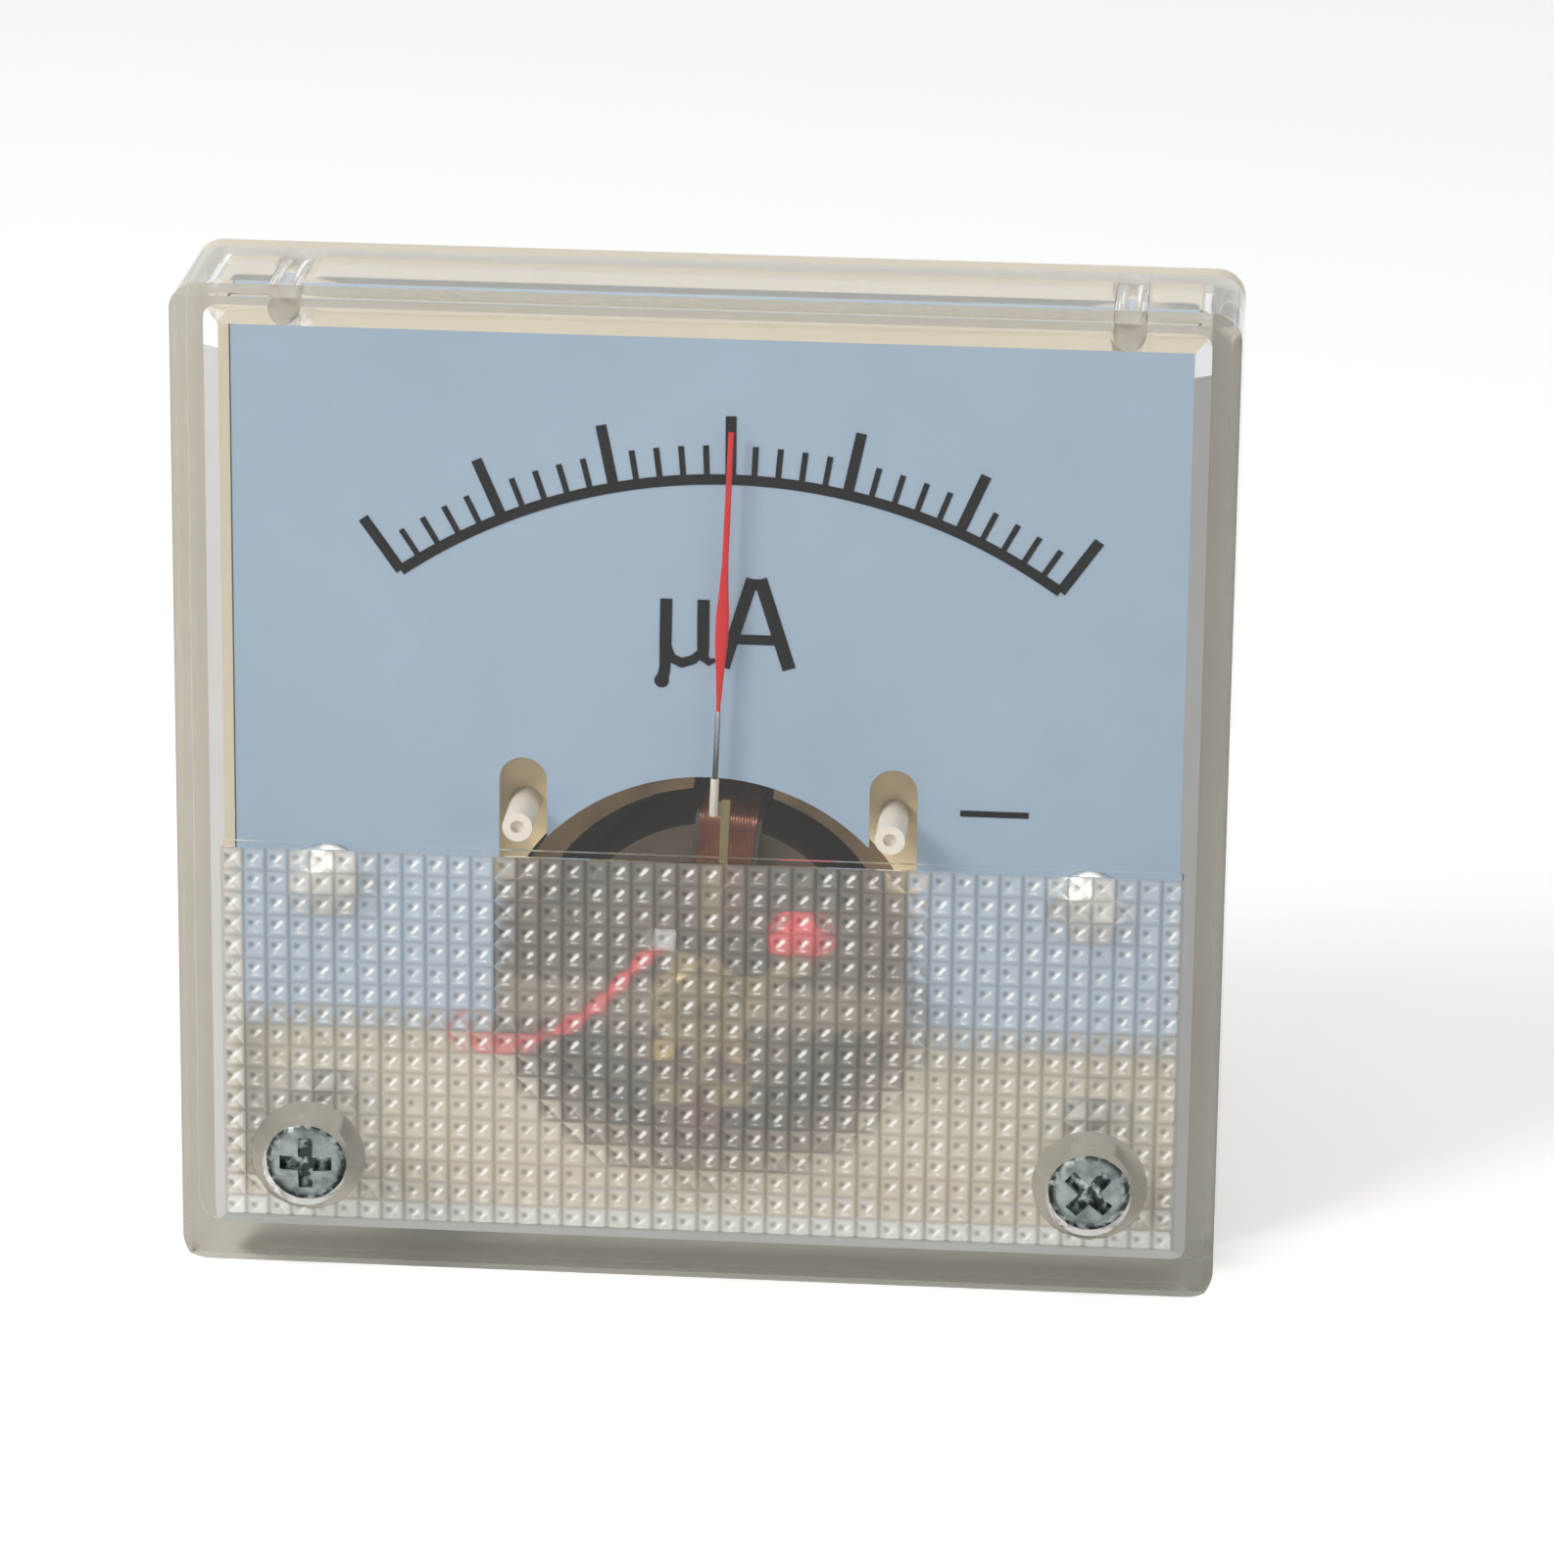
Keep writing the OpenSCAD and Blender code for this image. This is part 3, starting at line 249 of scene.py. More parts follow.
def clear_plastic():
    """Clear moulded plastic, faintly warm. Its prism band carries painted glints on the ridges and painted
    shade in the valleys.
    Light from lamps and from lit surfaces goes straight through it."""
    s = Shader("clear_plastic")
    haze = s.noise(420.0, 1.0)
    painted_light_patches = s.noise(1700.0, 1.0)
    at = s.node("SeparateXYZ", Vector=s.where)
    x, y, z = at.outputs["X"], at.outputs["Y"], at.outputs["Z"]
    on_band = s.inside(
        (z, "LESS_THAN", BAND_TOP),
        (z, "GREATER_THAN", BAND_BOTTOM),
        (s.math("ABSOLUTE", x), "LESS_THAN", BAND_HALF_W),
        (y, "GREATER_THAN", INNER_FACE - ON_FACE),
        (y, "LESS_THAN", INNER_FACE + PRISM_REACH),
    )
    # The place in a prism's cell: u across and v up, each from 0 to 1
    cell_w, cell_h = 2 * BAND_HALF_W / COLUMNS, (BAND_TOP - BAND_BOTTOM) / ROWS
    u = s.math("FRACT", s.math("DIVIDE", s.math("ADD", x, BAND_HALF_W), cell_w))
    v = s.math("FRACT", s.math("DIVIDE", s.math("SUBTRACT", z, BAND_BOTTOM), cell_h))

    def near(value, centre, full, none):
        """1 where value is within full of centre, falling to 0 at none."""
        away = s.math("ABSOLUTE", s.math("SUBTRACT", value, centre))
        return s.span(away, 1, 0, full, none)

    def both(a, b):
        return s.math("MULTIPLY", a, b)

    across, along = s.math("SUBTRACT", u, v), s.math("ADD", u, v)
    # Painted glints: a bright diagonal dash and a foot in each prism cell, made by letting less light
    # through there; a noise varies their strength
    painted_glint = both(near(across, 0.04, 0.07, 0.22), near(along, 1.06, 0.2, 0.5))
    foot = both(near(v, 0.2, 0.02, 0.12), near(u, 0.52, 0.1, 0.32))
    painted_glint = s.math("MAXIMUM", painted_glint, both(foot, 0.6))
    painted_glint = both(both(painted_glint, on_band), s.span(painted_light_patches, 0.25, 1.0, 0.32, 0.55))
    # Painted shade: a dark spot in each cell, and darker valleys and ledges along the cell borders
    shade_spot = both(near(u, 0.34, 0.04, 0.2), near(v, 0.58, 0.04, 0.2))
    valley = both(s.math("MAXIMUM", near(u, 0.0, 0.03, 0.17), near(u, 1.0, 0.03, 0.17)), 0.7)
    ledge = both(s.math("MAXIMUM", near(v, 0.0, 0.03, 0.15), near(v, 1.0, 0.03, 0.15)), 0.4)
    painted_shade = both(s.math("MAXIMUM", s.math("MAXIMUM", valley, ledge), both(shade_spot, 0.8)), on_band)
    scattered = both(on_band, MILKY)
    clear = s.ramp(haze, [(0.2, (0.94, 0.935, 0.915)), (0.8, (0.98, 0.975, 0.96))])
    # The long way through a wall greys its outer faces, most at the sides and the bottom
    from_middle = s.math("ABSOLUTE", s.math("SUBTRACT", x, BEZEL.x))
    side = s.math("GREATER_THAN", from_middle, cover_hi.x - BEZEL.x - ON_WALL)
    side = s.math("MAXIMUM", side, s.math("LESS_THAN", z, cover_lo.z + ON_WALL))
    tinted = s.blend(side, clear, WALL_TINT)
    rim = s.math("GREATER_THAN", y, cover_hi.y - ON_FACE)
    tinted = s.blend(rim, tinted, RIM_TINT)
    # The 45 degree chamfers inside the side and bottom edges scatter light too, and are greyed with painted
    # shade that dims their strip
    lean = s.node("SeparateXYZ", Vector=s.node("TexCoord").outputs["Normal"]).outputs["Y"]
    chamfer = s.inside(
        (z, "LESS_THAN", cover_hi.z - 3 * MM),
        (y, "GREATER_THAN", INNER_FACE - ON_FACE),
        (y, "LESS_THAN", INNER_FACE + CHAMFER_REACH),
    )
    chamfer = both(near(s.math("ABSOLUTE", lean), CHAMFER_LEAN, 0.05, 0.06), chamfer)
    tinted = s.blend(chamfer, tinted, CHAMFER_PAINTED_SHADE)
    scattered = s.math("MAXIMUM", scattered, both(chamfer, 0.8))
    s.set(
        Base_Color=s.blend(painted_shade, tinted, PAINTED_CELL_SHADE),
        Roughness=s.math("ADD", s.span(haze, 0.015, 0.05), both(on_band, 0.38)),
        IOR=CLEAR_IOR,
        Transmission_Weight=s.math("SUBTRACT", 1.0, s.math("MAXIMUM", both(painted_glint, 0.85), scattered)),
    )
    path = s.node("LightPath")
    passing = s.math("MAXIMUM", path.outputs["Is Shadow Ray"], path.outputs["Is Diffuse Ray"])
    opened = s.node("BsdfTransparent")
    opened.inputs["Color"].default_value = (0.93, 0.925, 0.91, 1)
    mix = s.node("MixShader")
    s.put(mix.inputs[0], passing)
    s.put(mix.inputs[1], s.bsdf.outputs[0])
    s.put(mix.inputs[2], opened.outputs[0])
    s.put(s.tree.nodes["Material Output"].inputs["Surface"], mix.outputs[0])
    return s.mat


def dial_paint():
    """The dial's satin coating, pale blue-grey, on a plate whose cut edges are bare and bright."""
    s = Shader("dial_coating")
    s.bsdf.inputs["Specular IOR Level"].default_value = 0.25
    cloud = s.noise(60.0, 3.0)
    grain = s.noise(16000.0, 2.0)
    faces = s.node("SeparateXYZ", Vector=s.node("TexCoord").outputs["Normal"])
    edge = s.math("LESS_THAN", s.math("ABSOLUTE", faces.outputs["Y"]), 0.5)
    coated = s.ramp(cloud, [(0.3, linear(153, 174, 197)), (0.7, linear(161, 182, 205))])
    s.set(
        Base_Color=s.blend(edge, coated, (*linear(226, 222, 214), 1)),
        Roughness=s.span(grain, 0.42, 0.6),
    )
    s.bump(grain, 0.08, 0.00001)
    return s.mat


# The box in the base painted brighter and creamier, as painted light in the shaded slots, in metres: its
# reach to each side, up from the pivot, and in depth.
# It goes through the flange, so it also shows behind, as a bar just above the rear body.
PAINTED_LIGHT_X = 12 * MM
PAINTED_LIGHT_FROM_Z, PAINTED_LIGHT_TO_Z = PIVOT.z + 4 * MM, PIVOT.z + 12 * MM
PAINTED_LIGHT_FROM_Y, PAINTED_LIGHT_TO_Y = -1.6 * MM, 0.5 * MM


def ivory_plastic():
    """The base's moulded ivory, with a patch of painted light, brighter and a warmer cream, where the dial's
    stop slots show it.
    """
    s = Shader("ivory_plastic")
    patches = s.noise(90.0, 4.0)
    fine = s.noise(6000.0, 2.0)
    at = s.node("SeparateXYZ", Vector=s.where)
    painted_light_behind_dial = s.inside(
        (s.math("ABSOLUTE", at.outputs["X"]), "LESS_THAN", PAINTED_LIGHT_X),
        (at.outputs["Z"], "GREATER_THAN", PAINTED_LIGHT_FROM_Z),
        (at.outputs["Z"], "LESS_THAN", PAINTED_LIGHT_TO_Z),
        (at.outputs["Y"], "GREATER_THAN", PAINTED_LIGHT_FROM_Y),
        (at.outputs["Y"], "LESS_THAN", PAINTED_LIGHT_TO_Y),
    )
    even = s.ramp(patches, [(0.3, shade(IVORY, 0.965)), (0.7, shade(IVORY, 1.035))])
    s.set(
        # Painted light: the patch behind the dial is brighter and a warmer cream than the rest
        Base_Color=s.blend(painted_light_behind_dial, even, (*linear(247, 225, 183), 1)),
        Roughness=s.span(fine, 0.36, 0.5),
    )
    s.bump(fine, 0.06)
    return s.mat


def screw_finish():
    """Zinc-plated cross-head screws, with painted shade and a few painted glints at the heads' rims and in
    the recesses.
    """
    s = Shader("cover_screw_plating")
    at = s.node("SeparateXYZ", Vector=s.where)
    dx = s.math("SUBTRACT", s.math("ABSOLUTE", at.outputs["X"]), COVER_SCREW[0])
    dz = s.math("SUBTRACT", at.outputs["Z"], COVER_SCREW[1])
    out = s.math("SQRT", s.math("ADD", s.math("MULTIPLY", dx, dx), s.math("MULTIPLY", dz, dz)))
    cloud = s.noise(1500.0, 3.0)
    plate = s.ramp(cloud, [(0.3, linear(100, 110, 108)), (0.7, linear(158, 166, 164))])
    # Painted shade at the heads' rims and in the recesses, broken by painted glints
    painted_light_patches = s.ramp(s.noise(2400.0, 2.0), [(0.48, linear(56, 64, 64)), (0.66, linear(176, 184, 180))])
    rim = s.span(out, 0, 1, 1.38 * MM, 1.62 * MM)
    sunk = s.span(at.outputs["Y"], 0, 1, screw_lo.y + 0.28 * MM, screw_lo.y + 0.42 * MM)
    s.set(
        Base_Color=s.blend(s.math("MAXIMUM", rim, sunk), plate, painted_light_patches),
        Metallic=1.0,
        Roughness=s.span(cloud, 0.2, 0.36),
    )
    s.bump(cloud, 0.15, 0.00003)
    return s.mat


def bridge_finish():
    """Dull plated brass: brass-coloured round the jewel screw, grey-brown on the strap."""
    s = Shader("bridge_plating")
    cloud = s.noise(700.0, 3.0)
    hub, strap = linear(184, 166, 120), linear(132, 120, 100)
    s.set(
        Base_Color=s.steps(s.from_pivot(), [(0.0, hub), (2.2 * MM, strap)], 0.4 * MM),
        Metallic=0.8,
        Roughness=s.span(cloud, 0.34, 0.55),
    )
    s.bump(cloud, 0.1, 0.00002)
    return s.mat


def winding_copper():
    """Enamelled wire laid side by side along the coil."""
    s = Shader("winding_copper")
    lines = s.node("TexWave", Vector=s.where, wave_type="BANDS", bands_direction="X")
    lines.inputs["Scale"].default_value = 2600.0
    lines.inputs["Distortion"].default_value = 0.6
    cloud = s.noise(900.0, 3.0)
    s.set(
        Base_Color=s.ramp(cloud, [(0.3, linear(80, 42, 28)), (0.7, linear(122, 70, 42))]),
        Metallic=0.55,
        Roughness=0.36,
    )
    s.bump(lines.outputs["Fac"], 0.6, 0.00003)
    return s.mat


IVORY = linear(205, 197, 178)
M_CLEAR = clear_plastic()
M_IVORY = ivory_plastic()
M_DIAL = dial_paint()
M_ZINC = metal("zinc_plate", linear(128, 138, 140), 0.3)
M_NICKEL = metal("nickel_plate", linear(205, 203, 198), 0.2)
M_SLEEVE = varied("white_sleeve", linear(232, 226, 217), 0.03, 500.0, 0.4)
M_MAGNET = varied("magnet_alloy", linear(95, 85, 71), 0.25, 420.0, 0.5, metallic=0.3, bump=0.2)
M_IRON = varied("soft_iron", linear(122, 103, 77), 0.35, 420.0, 0.5, metallic=0.6, bump=0.3)
M_BRASS = metal("brass", linear(196, 166, 104), 0.3)
M_OLIVE_BRASS = metal("carrier_brass", linear(132, 120, 84), 0.4)
M_COPPER = winding_copper()
M_FORMER = metal("former_aluminium", linear(84, 82, 78), 0.45)
M_POINTER = varied("pointer_lacquer", linear(206, 16, 24), 0.05, 700.0, 0.4, gloss=0.3)
M_WIRE = metal("pointer_wire", linear(140, 142, 148), 0.35)
M_ROOT = varied("pointer_sleeve", linear(206, 200, 190), 0.04, 500.0, 0.4)
M_COVER_SCREW = screw_finish()
M_BRIDGE = bridge_finish()
M_BRONZE = metal("spring_bronze", linear(186, 158, 114), 0.28)
M_LEAD = varied("red_insulation", linear(196, 34, 48), 0.08, 600.0, 0.4)
M_INK = varied("dial_ink", linear(9, 11, 16), 0.2, 900.0, 0.6, gloss=0.0)
M_SOLDER = metal("solder", linear(190, 190, 188), 0.25)
M_LACQUER = varied("locking_lacquer", linear(214, 30, 46), 0.06, 600.0, 0.22)

FINISH = {
    "front_cover": M_CLEAR,
    "cover_screws": M_COVER_SCREW,
    "base_housing": M_IVORY,
    "dial_plate": M_DIAL,
    "dial_screws": M_NICKEL,
    "stop_pins": M_SLEEVE,
    "stop_sleeves": M_SLEEVE,
    "core_magnet": M_MAGNET,
    "core_spacers": M_IRON,
    "yoke_ring": M_IRON,
    "front_bridge": M_BRIDGE,
    "rear_bridge": M_BRIDGE,
    "bridge_screws": M_NICKEL,
    "movement_screws": M_NICKEL,
    "front_jewel_screw": M_OLIVE_BRASS,
    "rear_jewel_screw": M_BRASS,
    "jewel_lock_nuts": M_OLIVE_BRASS,
    "coil_former": M_FORMER,
    "coil_winding": M_COPPER,
    "front_pivot": M_BRASS,
    "rear_pivot": M_BRASS,
    "pointer": M_POINTER,
    "pointer_carrier": M_OLIVE_BRASS,
    "balance_weights": M_BRASS,
    "front_hairspring": M_BRONZE,
    "rear_hairspring": M_BRONZE,
    "zero_adjuster": M_OLIVE_BRASS,
    "rear_spring_arm": M_OLIVE_BRASS,
    "terminal_studs": M_BRASS,
    "terminal_washers": M_NICKEL,
    "terminal_nuts": M_BRASS,
    "solder_lugs": M_NICKEL,
    "mounting_studs": M_ZINC,
    "mounting_washers": M_ZINC,
    "mounting_nuts": M_ZINC,
    "front_lead": M_LEAD,
    "rear_lead": M_LEAD,
}
for name, mat in FINISH.items():
    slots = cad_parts[name].data.materials
    if len(slots):
        for i in range(len(slots)):
            slots[i] = mat
    else:
        slots.append(mat)

# ---- Pieces made here ----


def piece(name, body, mat, bm):
    """Turns a bmesh into a shown piece that rides on a body."""
    mesh = bpy.data.meshes.new(name)
    bm.to_mesh(mesh)
    bm.free()
    mesh.materials.append(mat)
    obj = bpy.data.objects.new(name, mesh)
    bpy.context.scene.collection.objects.link(obj)
    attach(obj, body)
    return obj


def close_tube(bm, rings, smooth=False):
    """Caps a row of equal rings and joins each to the next."""
    bm.faces.new(rings[0])
    bm.faces.new(rings[-1][::-1])
    sides = len(rings[0])
    for a, b in zip(rings, rings[1:]):
        for k in range(sides):
            bm.faces.new((a[k], a[(k + 1) % sides], b[(k + 1) % sides], b[k])).smooth = smooth
    bmesh.ops.recalc_face_normals(bm, faces=bm.faces)


def ink(name, outlines):
    """Flat print on the dial: closed outlines in bezel-centred millimetres, each a thin layer."""
    bm = bmesh.new()
    back, front = DIAL_FACE - INK_LIFT * 0.1, DIAL_FACE - INK_LIFT
    for outline in outlines:
        pts = [(BEZEL.x + x * MM, BEZEL.z + z * MM) for x, z in outline]
        rear = [bm.verts.new((x, back, z)) for x, z in pts]
        face = [bm.verts.new((x, front, z)) for x, z in pts]
        bm.faces.new(face)
        bm.faces.new(list(reversed(rear)))
        for i in range(len(pts)):
            j = (i + 1) % len(pts)
            bm.faces.new((face[i], rear[i], rear[j], face[j]))
    bmesh.ops.recalc_face_normals(bm, faces=bm.faces)
    bmesh.ops.triangulate(bm, faces=[f for f in bm.faces if len(f.verts) > 4])
    return piece(name, "root", M_INK, bm)


def bar(a, b, w):
    """A straight stroke of width w from a to b."""
    dx, dz = b[0] - a[0], b[1] - a[1]
    n = math.hypot(dx, dz)
    px, pz = -dz / n * w / 2, dx / n * w / 2
    return [(a[0] + px, a[1] + pz), (b[0] + px, b[1] + pz), (b[0] - px, b[1] - pz), (a[0] - px, a[1] - pz)]


def stroke(points, widths):
    """A curved stroke through the points, with its width at each."""
    left, right = [], []
    last = len(points) - 1
    for i, (x, z) in enumerate(points):
        ax, az = points[max(i - 1, 0)]
        bx, bz = points[min(i + 1, last)]
        n = math.hypot(bx - ax, bz - az)
        px, pz = -(bz - az) / n * widths[i] / 2, (bx - ax) / n * widths[i] / 2
        left.append((x + px, z + pz))
        right.append((x - px, z - pz))
    return left + right[::-1]


def arc_points(cx, cz, r, a0, a1, steps):
    """Points along an arc; angles in degrees from upright, growing to the right."""
    out = []
    for i in range(steps + 1):
        a = math.radians(a0 + (a1 - a0) * i / steps)
        out.append((cx + r * math.sin(a), cz + r * math.cos(a)))
    return out


# The printed scale: its centre lies a little to the right of the pivot, as in the photo
SCALE_X = 0.86
SCALE_Z = (PIVOT.z - BEZEL.z) / MM - 1.45
SCALE_R = 24.54
SCALE_HALF = 35.3
ARC_STEPS, STROKE_STEPS = 96, 8
BAND_W = 0.46
MAJOR_LEN, MAJOR_W = 2.8, 0.46
MINOR_LEN, MINOR_W = 1.5, 0.25
INTERVALS, DIVISIONS = 6, 5

marks = []
band = arc_points(SCALE_X, SCALE_Z, SCALE_R, -SCALE_HALF, SCALE_HALF, ARC_STEPS)
for i in range(0, ARC_STEPS, STROKE_STEPS):
    marks.append(stroke(band[i : i + STROKE_STEPS + 1], [BAND_W] * (STROKE_STEPS + 1)))
ticks = INTERVALS * DIVISIONS
for i in range(ticks + 1):
    length, width = (MAJOR_LEN, MAJOR_W) if i % DIVISIONS == 0 else (MINOR_LEN, MINOR_W)
    angle = -SCALE_HALF + 2 * SCALE_HALF * i / ticks
    foot, head = (arc_points(SCALE_X, SCALE_Z, r, angle, angle, 1)[0] for r in (SCALE_R, SCALE_R + length))
    marks.append(bar(foot, head, width))
ink("print_scale", marks)

# The unit, a Greek mu and a capital A
BASE, CAP, XTOP = 4.5, 8.5, 7.5
ink(
    "print_unit",
    [
        stroke([(-1.86, XTOP), (-1.88, 5.8), (-1.9, 4.4), (-2.02, 3.85)], [0.52, 0.52, 0.48, 0.54]),
        arc_points(-2.04, 3.82, 0.32, 0, 345, 16),
        stroke(
            [(-0.26, XTOP), (-0.26, 5.4), (-0.24, 4.92), (0.02, 4.7), (0.28, 4.82)],
            [0.52, 0.52, 0.46, 0.34, 0.18],
        ),
        stroke(
            [(-1.84, 5.4), (-1.64, 4.86), (-1.18, 4.64), (-0.68, 4.8), (-0.28, 5.2)],
            [0.4, 0.44, 0.46, 0.42, 0.34],
        ),
    ],
)
ink(
    "print_letter",
    [
        bar((0.62, BASE), (1.84, CAP), 0.54),
        bar((2.18, CAP), (3.46, BASE), 0.58),
        bar((1.74, CAP - 0.24), (2.28, CAP - 0.24), 0.48),
        bar((1.02, BASE + 1.28), (3.06, BASE + 1.28), 0.44),
    ],
)
ink("print_direct_current", [bar((10.94, -1.74), (13.9, -1.74), 0.27)])

# ---- Threads ----

RING = 32
ROWS_PER_TURN = 5


def threaded(name, node, slot, mat, spots, plain, major, depth, pitch, y_to, bevel):
    """Studs along Y: plain rows of (y, radius), then a helical thread up to y_to with a bevelled end."""
    bm = bmesh.new()
    y_from = plain[-1][0]
    count = round((y_to - y_from) / pitch * ROWS_PER_TURN)
    for x, z in spots:
        rows = [[(y, r)] * RING for y, r in plain]
        for i in range(count + 1):
            y = y_from + (y_to - y_from) * i / count
            row = []
            for k in range(RING):
                phase = ((y - y_from) / pitch + k / RING) % 1
                valley = min(1.0, 1.25 * (1 - abs(2 * phase - 1)))
                fade = min(1.0, i / ROWS_PER_TURN)
                r = major - depth * valley * fade
                row.append((y, min(r, major - bevel * max(0.0, 1 - (y_to - y) / bevel))))
            rows.append(row)
        rings = []
        for row in rows:
            ring = []
            for k, (y, r) in enumerate(row):
                a = TAU * k / RING
                ring.append(bm.verts.new(((x + r * math.cos(a)) * MM, y * MM, (z + r * math.sin(a)) * MM)))
            rings.append(ring)
        close_tube(bm, rings)
    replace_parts(piece(name, "root", mat, bm), node)


PIVOT_Z = PIVOT.z / MM
STUD_X, TERMINAL_X = 17.0, 16.5
BODY_BACK, BODY_FLOOR = 13.8, 12.4
# M3 thread: outer radius, depth, pitch and the bevel at its end
M3 = {"major": 1.5, "depth": 0.24, "pitch": 0.5, "bevel": 0.375}
threaded(
    "mounting_stud_threads", "mounting_studs", "zinc_steel", M_ZINC,
    [(-STUD_X, 0), (STUD_X, 0)],
    [(-2.2, 2.6), (-1.2, 2.6), (-1.2, 1.9), (0, 1.9), (0, 1.65), (1.2, 1.65), (1.2, 1.5)],
    y_to=12.6, **M3,
)
threaded(
    "terminal_stud_threads", "terminal_studs", "brass", M_BRASS,
    [(-TERMINAL_X, PIVOT_Z), (TERMINAL_X, PIVOT_Z)],
    [(BODY_FLOOR - 1, 1.75), (BODY_FLOOR, 1.75), (BODY_FLOOR, 1.5), (BODY_BACK, 1.5)],
    y_to=BODY_BACK + 10.4, **M3,
)

# ---- Pointer ----

# The blade's distance from the pivot and half width, in millimetres, from its foot to its tip
REST_LEAN = math.radians(2.1)
POINTER_Y = -3.44
BLADE = [
    (11.9, 0.06), (13.2, 0.09), (14.6, 0.17), (16.0, 0.28),
    (17.2, 0.29), (18.4, 0.2), (19.6, 0.14), (25.4, 0.12),
]
BLADE_HALF_T = 0.07
TUBE_SIDES = 16


def pointer_place(off, y, reach):
    """A point beside the pointer's line, at that distance from the pivot, in metres."""
    x = reach * math.sin(REST_LEAN) + off * math.cos(REST_LEAN)
    z = reach * math.cos(REST_LEAN) - off * math.sin(REST_LEAN)
    return PIVOT.x + x * MM, y * MM, PIVOT.z + z * MM


def pointer_blade():
    """A thin lance with bevelled long edges."""
    bm = bmesh.new()
    rows = []
    for reach, half in BLADE:
        section = [(-half, 0), (-half * 0.6, -BLADE_HALF_T), (half * 0.6, -BLADE_HALF_T), (half, 0),
                   (half * 0.6, BLADE_HALF_T), (-half * 0.6, BLADE_HALF_T)]
        rows.append([bm.verts.new(pointer_place(off, POINTER_Y + dy, reach)) for off, dy in section])
    close_tube(bm, rows)
    return piece("pointer_blade", "moving_coil", M_POINTER, bm)


def pointer_tube(name, mat, stops):
    """A fine round tube along the pointer, its radius at each distance from the pivot."""
    bm = bmesh.new()
    rows = []
    for reach, r in stops:
        angles = [TAU * k / TUBE_SIDES for k in range(TUBE_SIDES)]
        spots = [(r * math.cos(a), r * math.sin(a)) for a in angles]
        rows.append([bm.verts.new(pointer_place(off, POINTER_Y + dy, reach)) for off, dy in spots])
    close_tube(bm, rows, smooth=True)
    return piece(name, "moving_coil", mat, bm)


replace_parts(pointer_blade(), "pointer")
pointer_tube("pointer_wire", M_WIRE, [(9.8, 0.12), (12.6, 0.12), (13.2, 0.04)])
pointer_tube("pointer_sleeve", M_ROOT, [(8.2, 0.17), (8.28, 0.19), (9.82, 0.19), (9.9, 0.17)])

# ---- Solder and lacquer ----


def blob(name, body, mat, centre, radii, seed):
    """A small uneven drop of solder or lacquer, in millimetres from the pivot's axis."""
    bm = bmesh.new()
    bmesh.ops.create_icosphere(bm, subdivisions=4, radius=1.0)
    for v in bm.verts:
        lumps = noise.noise(v.co * 1.6 + Vector((seed, 0, 0))) * 0.22
        grain = noise.noise(v.co * 4 + Vector((0, seed, 0))) * 0.06
        v.co *= 1 + (lumps + grain)
        v.co = Vector((
            PIVOT.x + (centre[0] + v.co.x * radii[0]) * MM,
            (centre[1] + v.co.y * radii[1]) * MM,
            PIVOT.z + (centre[2] + v.co.z * radii[2]) * MM,
        ))
    for f in bm.faces:
        f.smooth = True
    return piece(name, body, mat, bm)


FRONT_STRAP, REAR_ARM = -4.9, 11.7
blob("solder_front_tab", "root", M_SOLDER, (-1.75, FRONT_STRAP - 0.1, 2.9), (0.75, 0.42, 0.6), 3.1)
blob("solder_rear_arm", "root", M_SOLDER, (2.5, REAR_ARM, 1.25), (0.6, 0.4, 0.5), 8.4)
for side, seed in ((-1, 5.5), (1, 6.7)):
    label = "left" if side < 0 else "right"
    blob("solder_terminal_" + label, "root", M_SOLDER, (side * TERMINAL_X, BODY_FLOOR - 1.1, 0),
         (1.2, 0.5, 1.1), seed)
blob("lacquer_dab", "adjuster", M_LACQUER, (4.2, -4.2, 3.0), (1.25, 0.6, 1.2), 1.7)

# ---- Camera, floor and light ----

# The camera's angles, distance and lens, all from a fit of the front's corners to the photo
CAM_AZ, CAM_EL, CAM_ROLL = 4.362, 18.307, 0.657
CAM_DIST = 313.54 * MM
CAM_TARGET = Vector((BEZEL.x + 3.062 * MM, -4 * MM, BEZEL.z - 0.407 * MM))
SENSOR = 36.0
LENS = 168.5644388398487

az, el, roll = math.radians(CAM_AZ), math.radians(CAM_EL), math.radians(CAM_ROLL)
back = Vector((math.sin(az) * math.cos(el), -math.cos(az) * math.cos(el), math.sin(el)))
level = Vector((math.cos(az), math.sin(az), 0))
above = back.cross(level)
right = level * math.cos(roll) + above * math.sin(roll)
up = above * math.cos(roll) - level * math.sin(roll)
cam = bpy.data.cameras.new("camera")
cam.sensor_fit = "HORIZONTAL"
cam.sensor_width = SENSOR
cam.lens = LENS
cam.clip_start, cam.clip_end = 0.01, 10
camera = bpy.data.objects.new("camera", cam)
bpy.context.scene.collection.objects.link(camera)
turn = Matrix((right, up, back)).transposed().to_4x4()
camera.matrix_world = Matrix.Translation(CAM_TARGET + back * CAM_DIST) @ turn
bpy.context.scene.camera = camera


def area_light(name, place, aim, size, watts, tint=(1, 1, 1)):
    data = bpy.data.lights.new(name, "AREA")
    data.shape = "RECTANGLE"
    data.size, data.size_y = size
    data.energy = watts
    data.color = tint
    obj = bpy.data.objects.new(name, data)
    bpy.context.scene.collection.objects.link(obj)
    obj.location = place
    obj.rotation_mode = "QUATERNION"
    obj.rotation_quaternion = (Vector(place) - Vector(aim)).to_track_quat("Z", "Y")


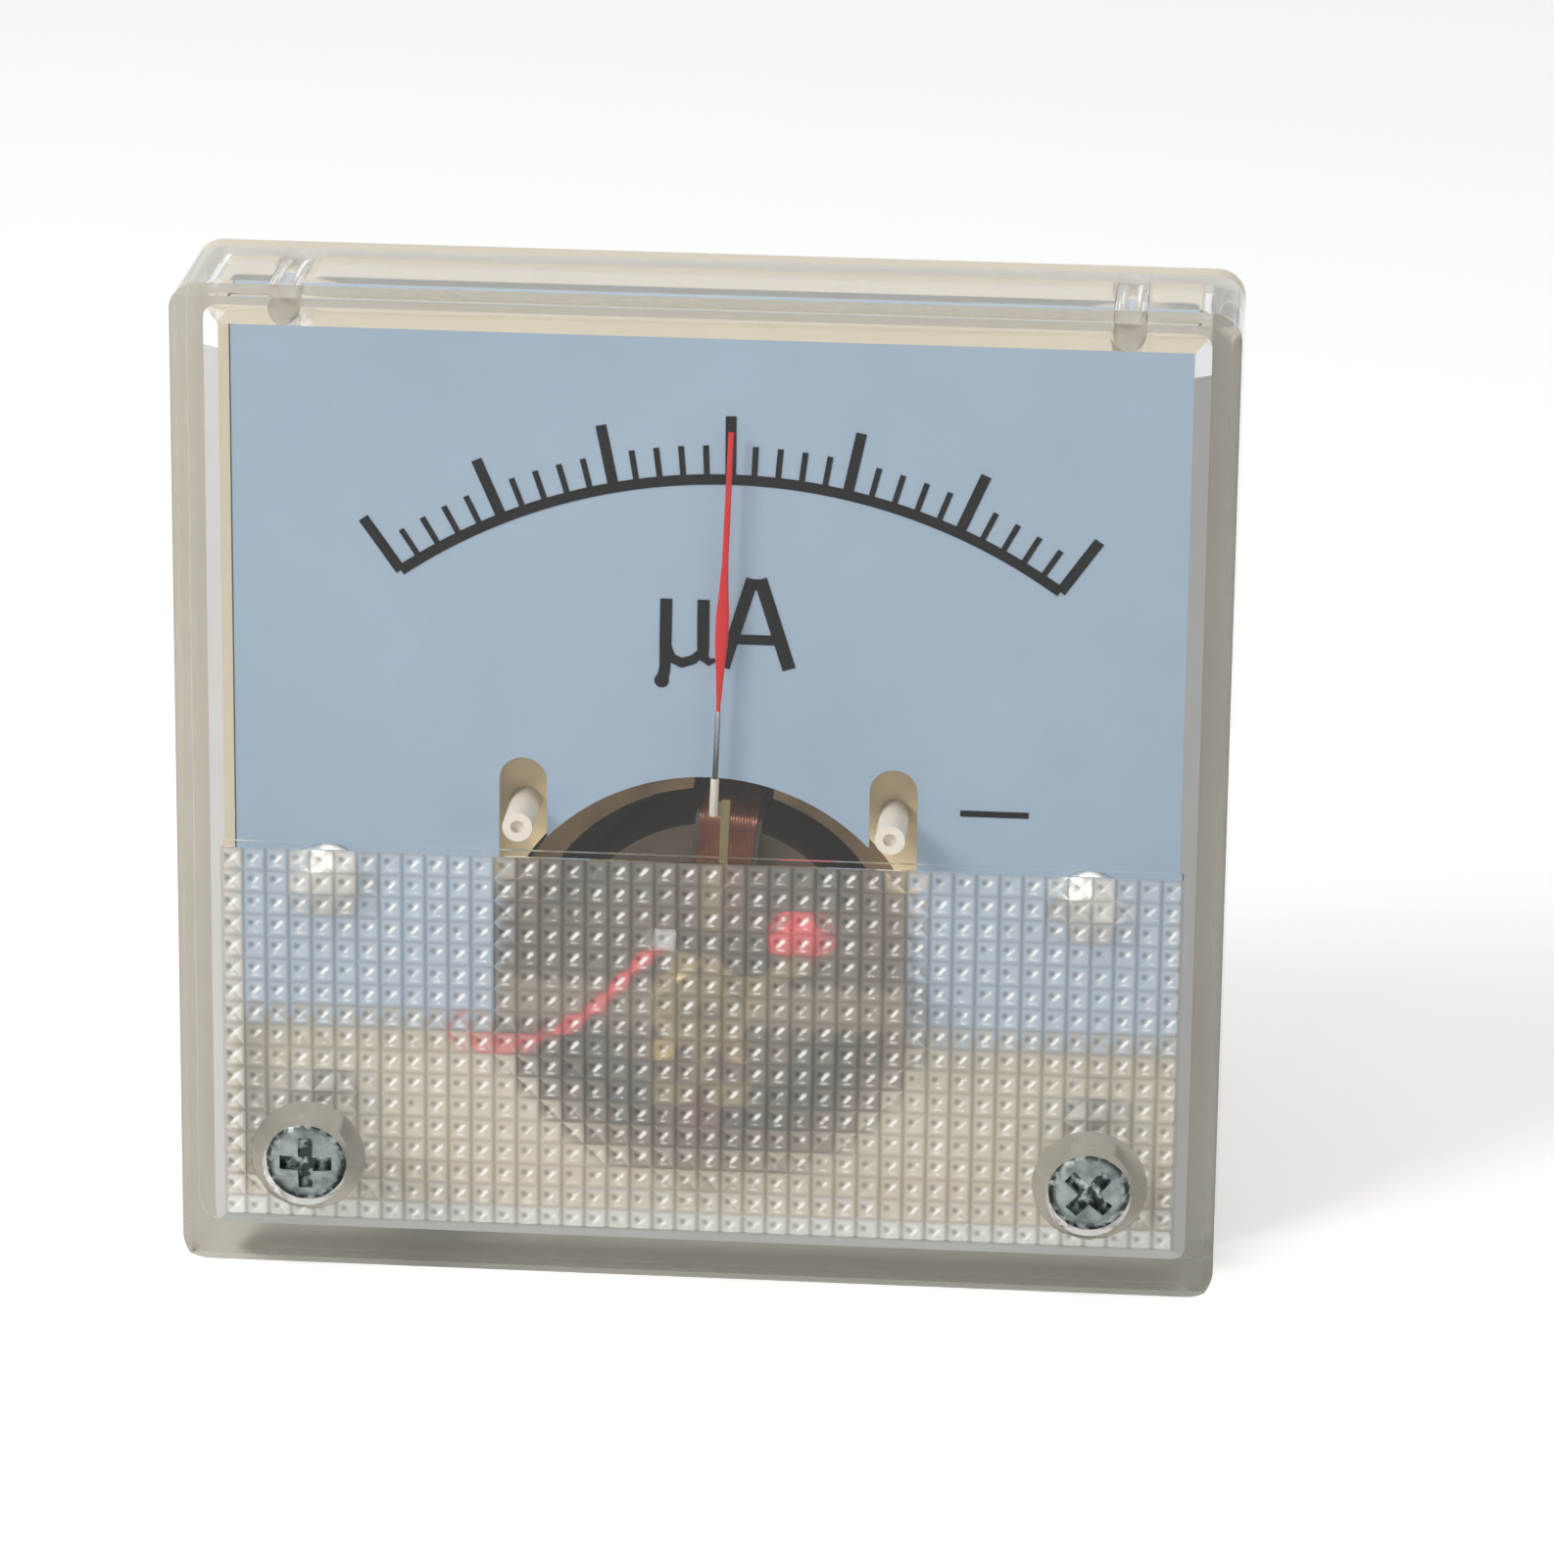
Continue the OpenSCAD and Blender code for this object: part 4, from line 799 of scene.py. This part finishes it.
AIM = (0, 0, BEZEL.z)
area_light("key", (-0.36, -0.33, 0.3), AIM, (0.22, 0.22), 2.5, (1, 0.985, 0.96))
area_light("fill", (0.4, -0.3, 0.1), AIM, (0.35, 0.35), 0.4, (0.96, 0.98, 1))
area_light("top", (0.02, -0.05, 0.5), AIM, (0.4, 0.3), 0.8)


def shown_rays(tree):
    """1 for rays that show the background: from the camera, in a reflection or through something clear."""
    path = tree.nodes.new("ShaderNodeLightPath")
    seen = path.outputs["Is Camera Ray"]
    for name in ("Is Glossy Ray", "Is Transmission Ray"):
        either = tree.nodes.new("ShaderNodeMath")
        either.operation = "MAXIMUM"
        tree.links.new(seen, either.inputs[0])
        tree.links.new(path.outputs[name], either.inputs[1])
        seen = either.outputs[0]
    return seen


world = bpy.data.worlds.new("studio")
world.use_nodes = True
sky = world.node_tree
seen = shown_rays(sky)
AMBIENT = 0.32
strength = sky.nodes.new("ShaderNodeMapRange")
strength.inputs["To Min"].default_value = AMBIENT
strength.inputs["To Max"].default_value = 1.0
sky.links.new(seen, strength.inputs["Value"])
background = sky.nodes["Background"]
background.inputs["Color"].default_value = (1, 1, 1, 1)
sky.links.new(strength.outputs["Result"], background.inputs["Strength"])
bpy.context.scene.world = world

floor_bm = bmesh.new()
FLOOR_HALF = 1.5
FLOOR_GLOW = 0.3
# Keeps the floor's face apart from the cover's lowest face
FLOOR_DROP = 0.1 * MM
bmesh.ops.create_grid(floor_bm, x_segments=1, y_segments=1, size=FLOOR_HALF)
bmesh.ops.translate(floor_bm, verts=floor_bm.verts, vec=(0, 0, cad_lo.z - FLOOR_DROP))
floor_mesh = bpy.data.meshes.new("floor")
floor_bm.to_mesh(floor_mesh)
floor_bm.free()
pale = Shader("pale_floor")
pale.set(Base_Color=(0.86, 0.86, 0.86, 1), Roughness=0.7, Emission_Color=(1, 1, 1, 1))
pale.put(pale.bsdf.inputs["Emission Strength"], pale.math("MULTIPLY", shown_rays(pale.tree), FLOOR_GLOW))
floor_mesh.materials.append(pale.mat)
floor = bpy.data.objects.new("floor", floor_mesh)
bpy.context.scene.collection.objects.link(floor)

bpy.context.scene.view_settings.view_transform = "Standard"
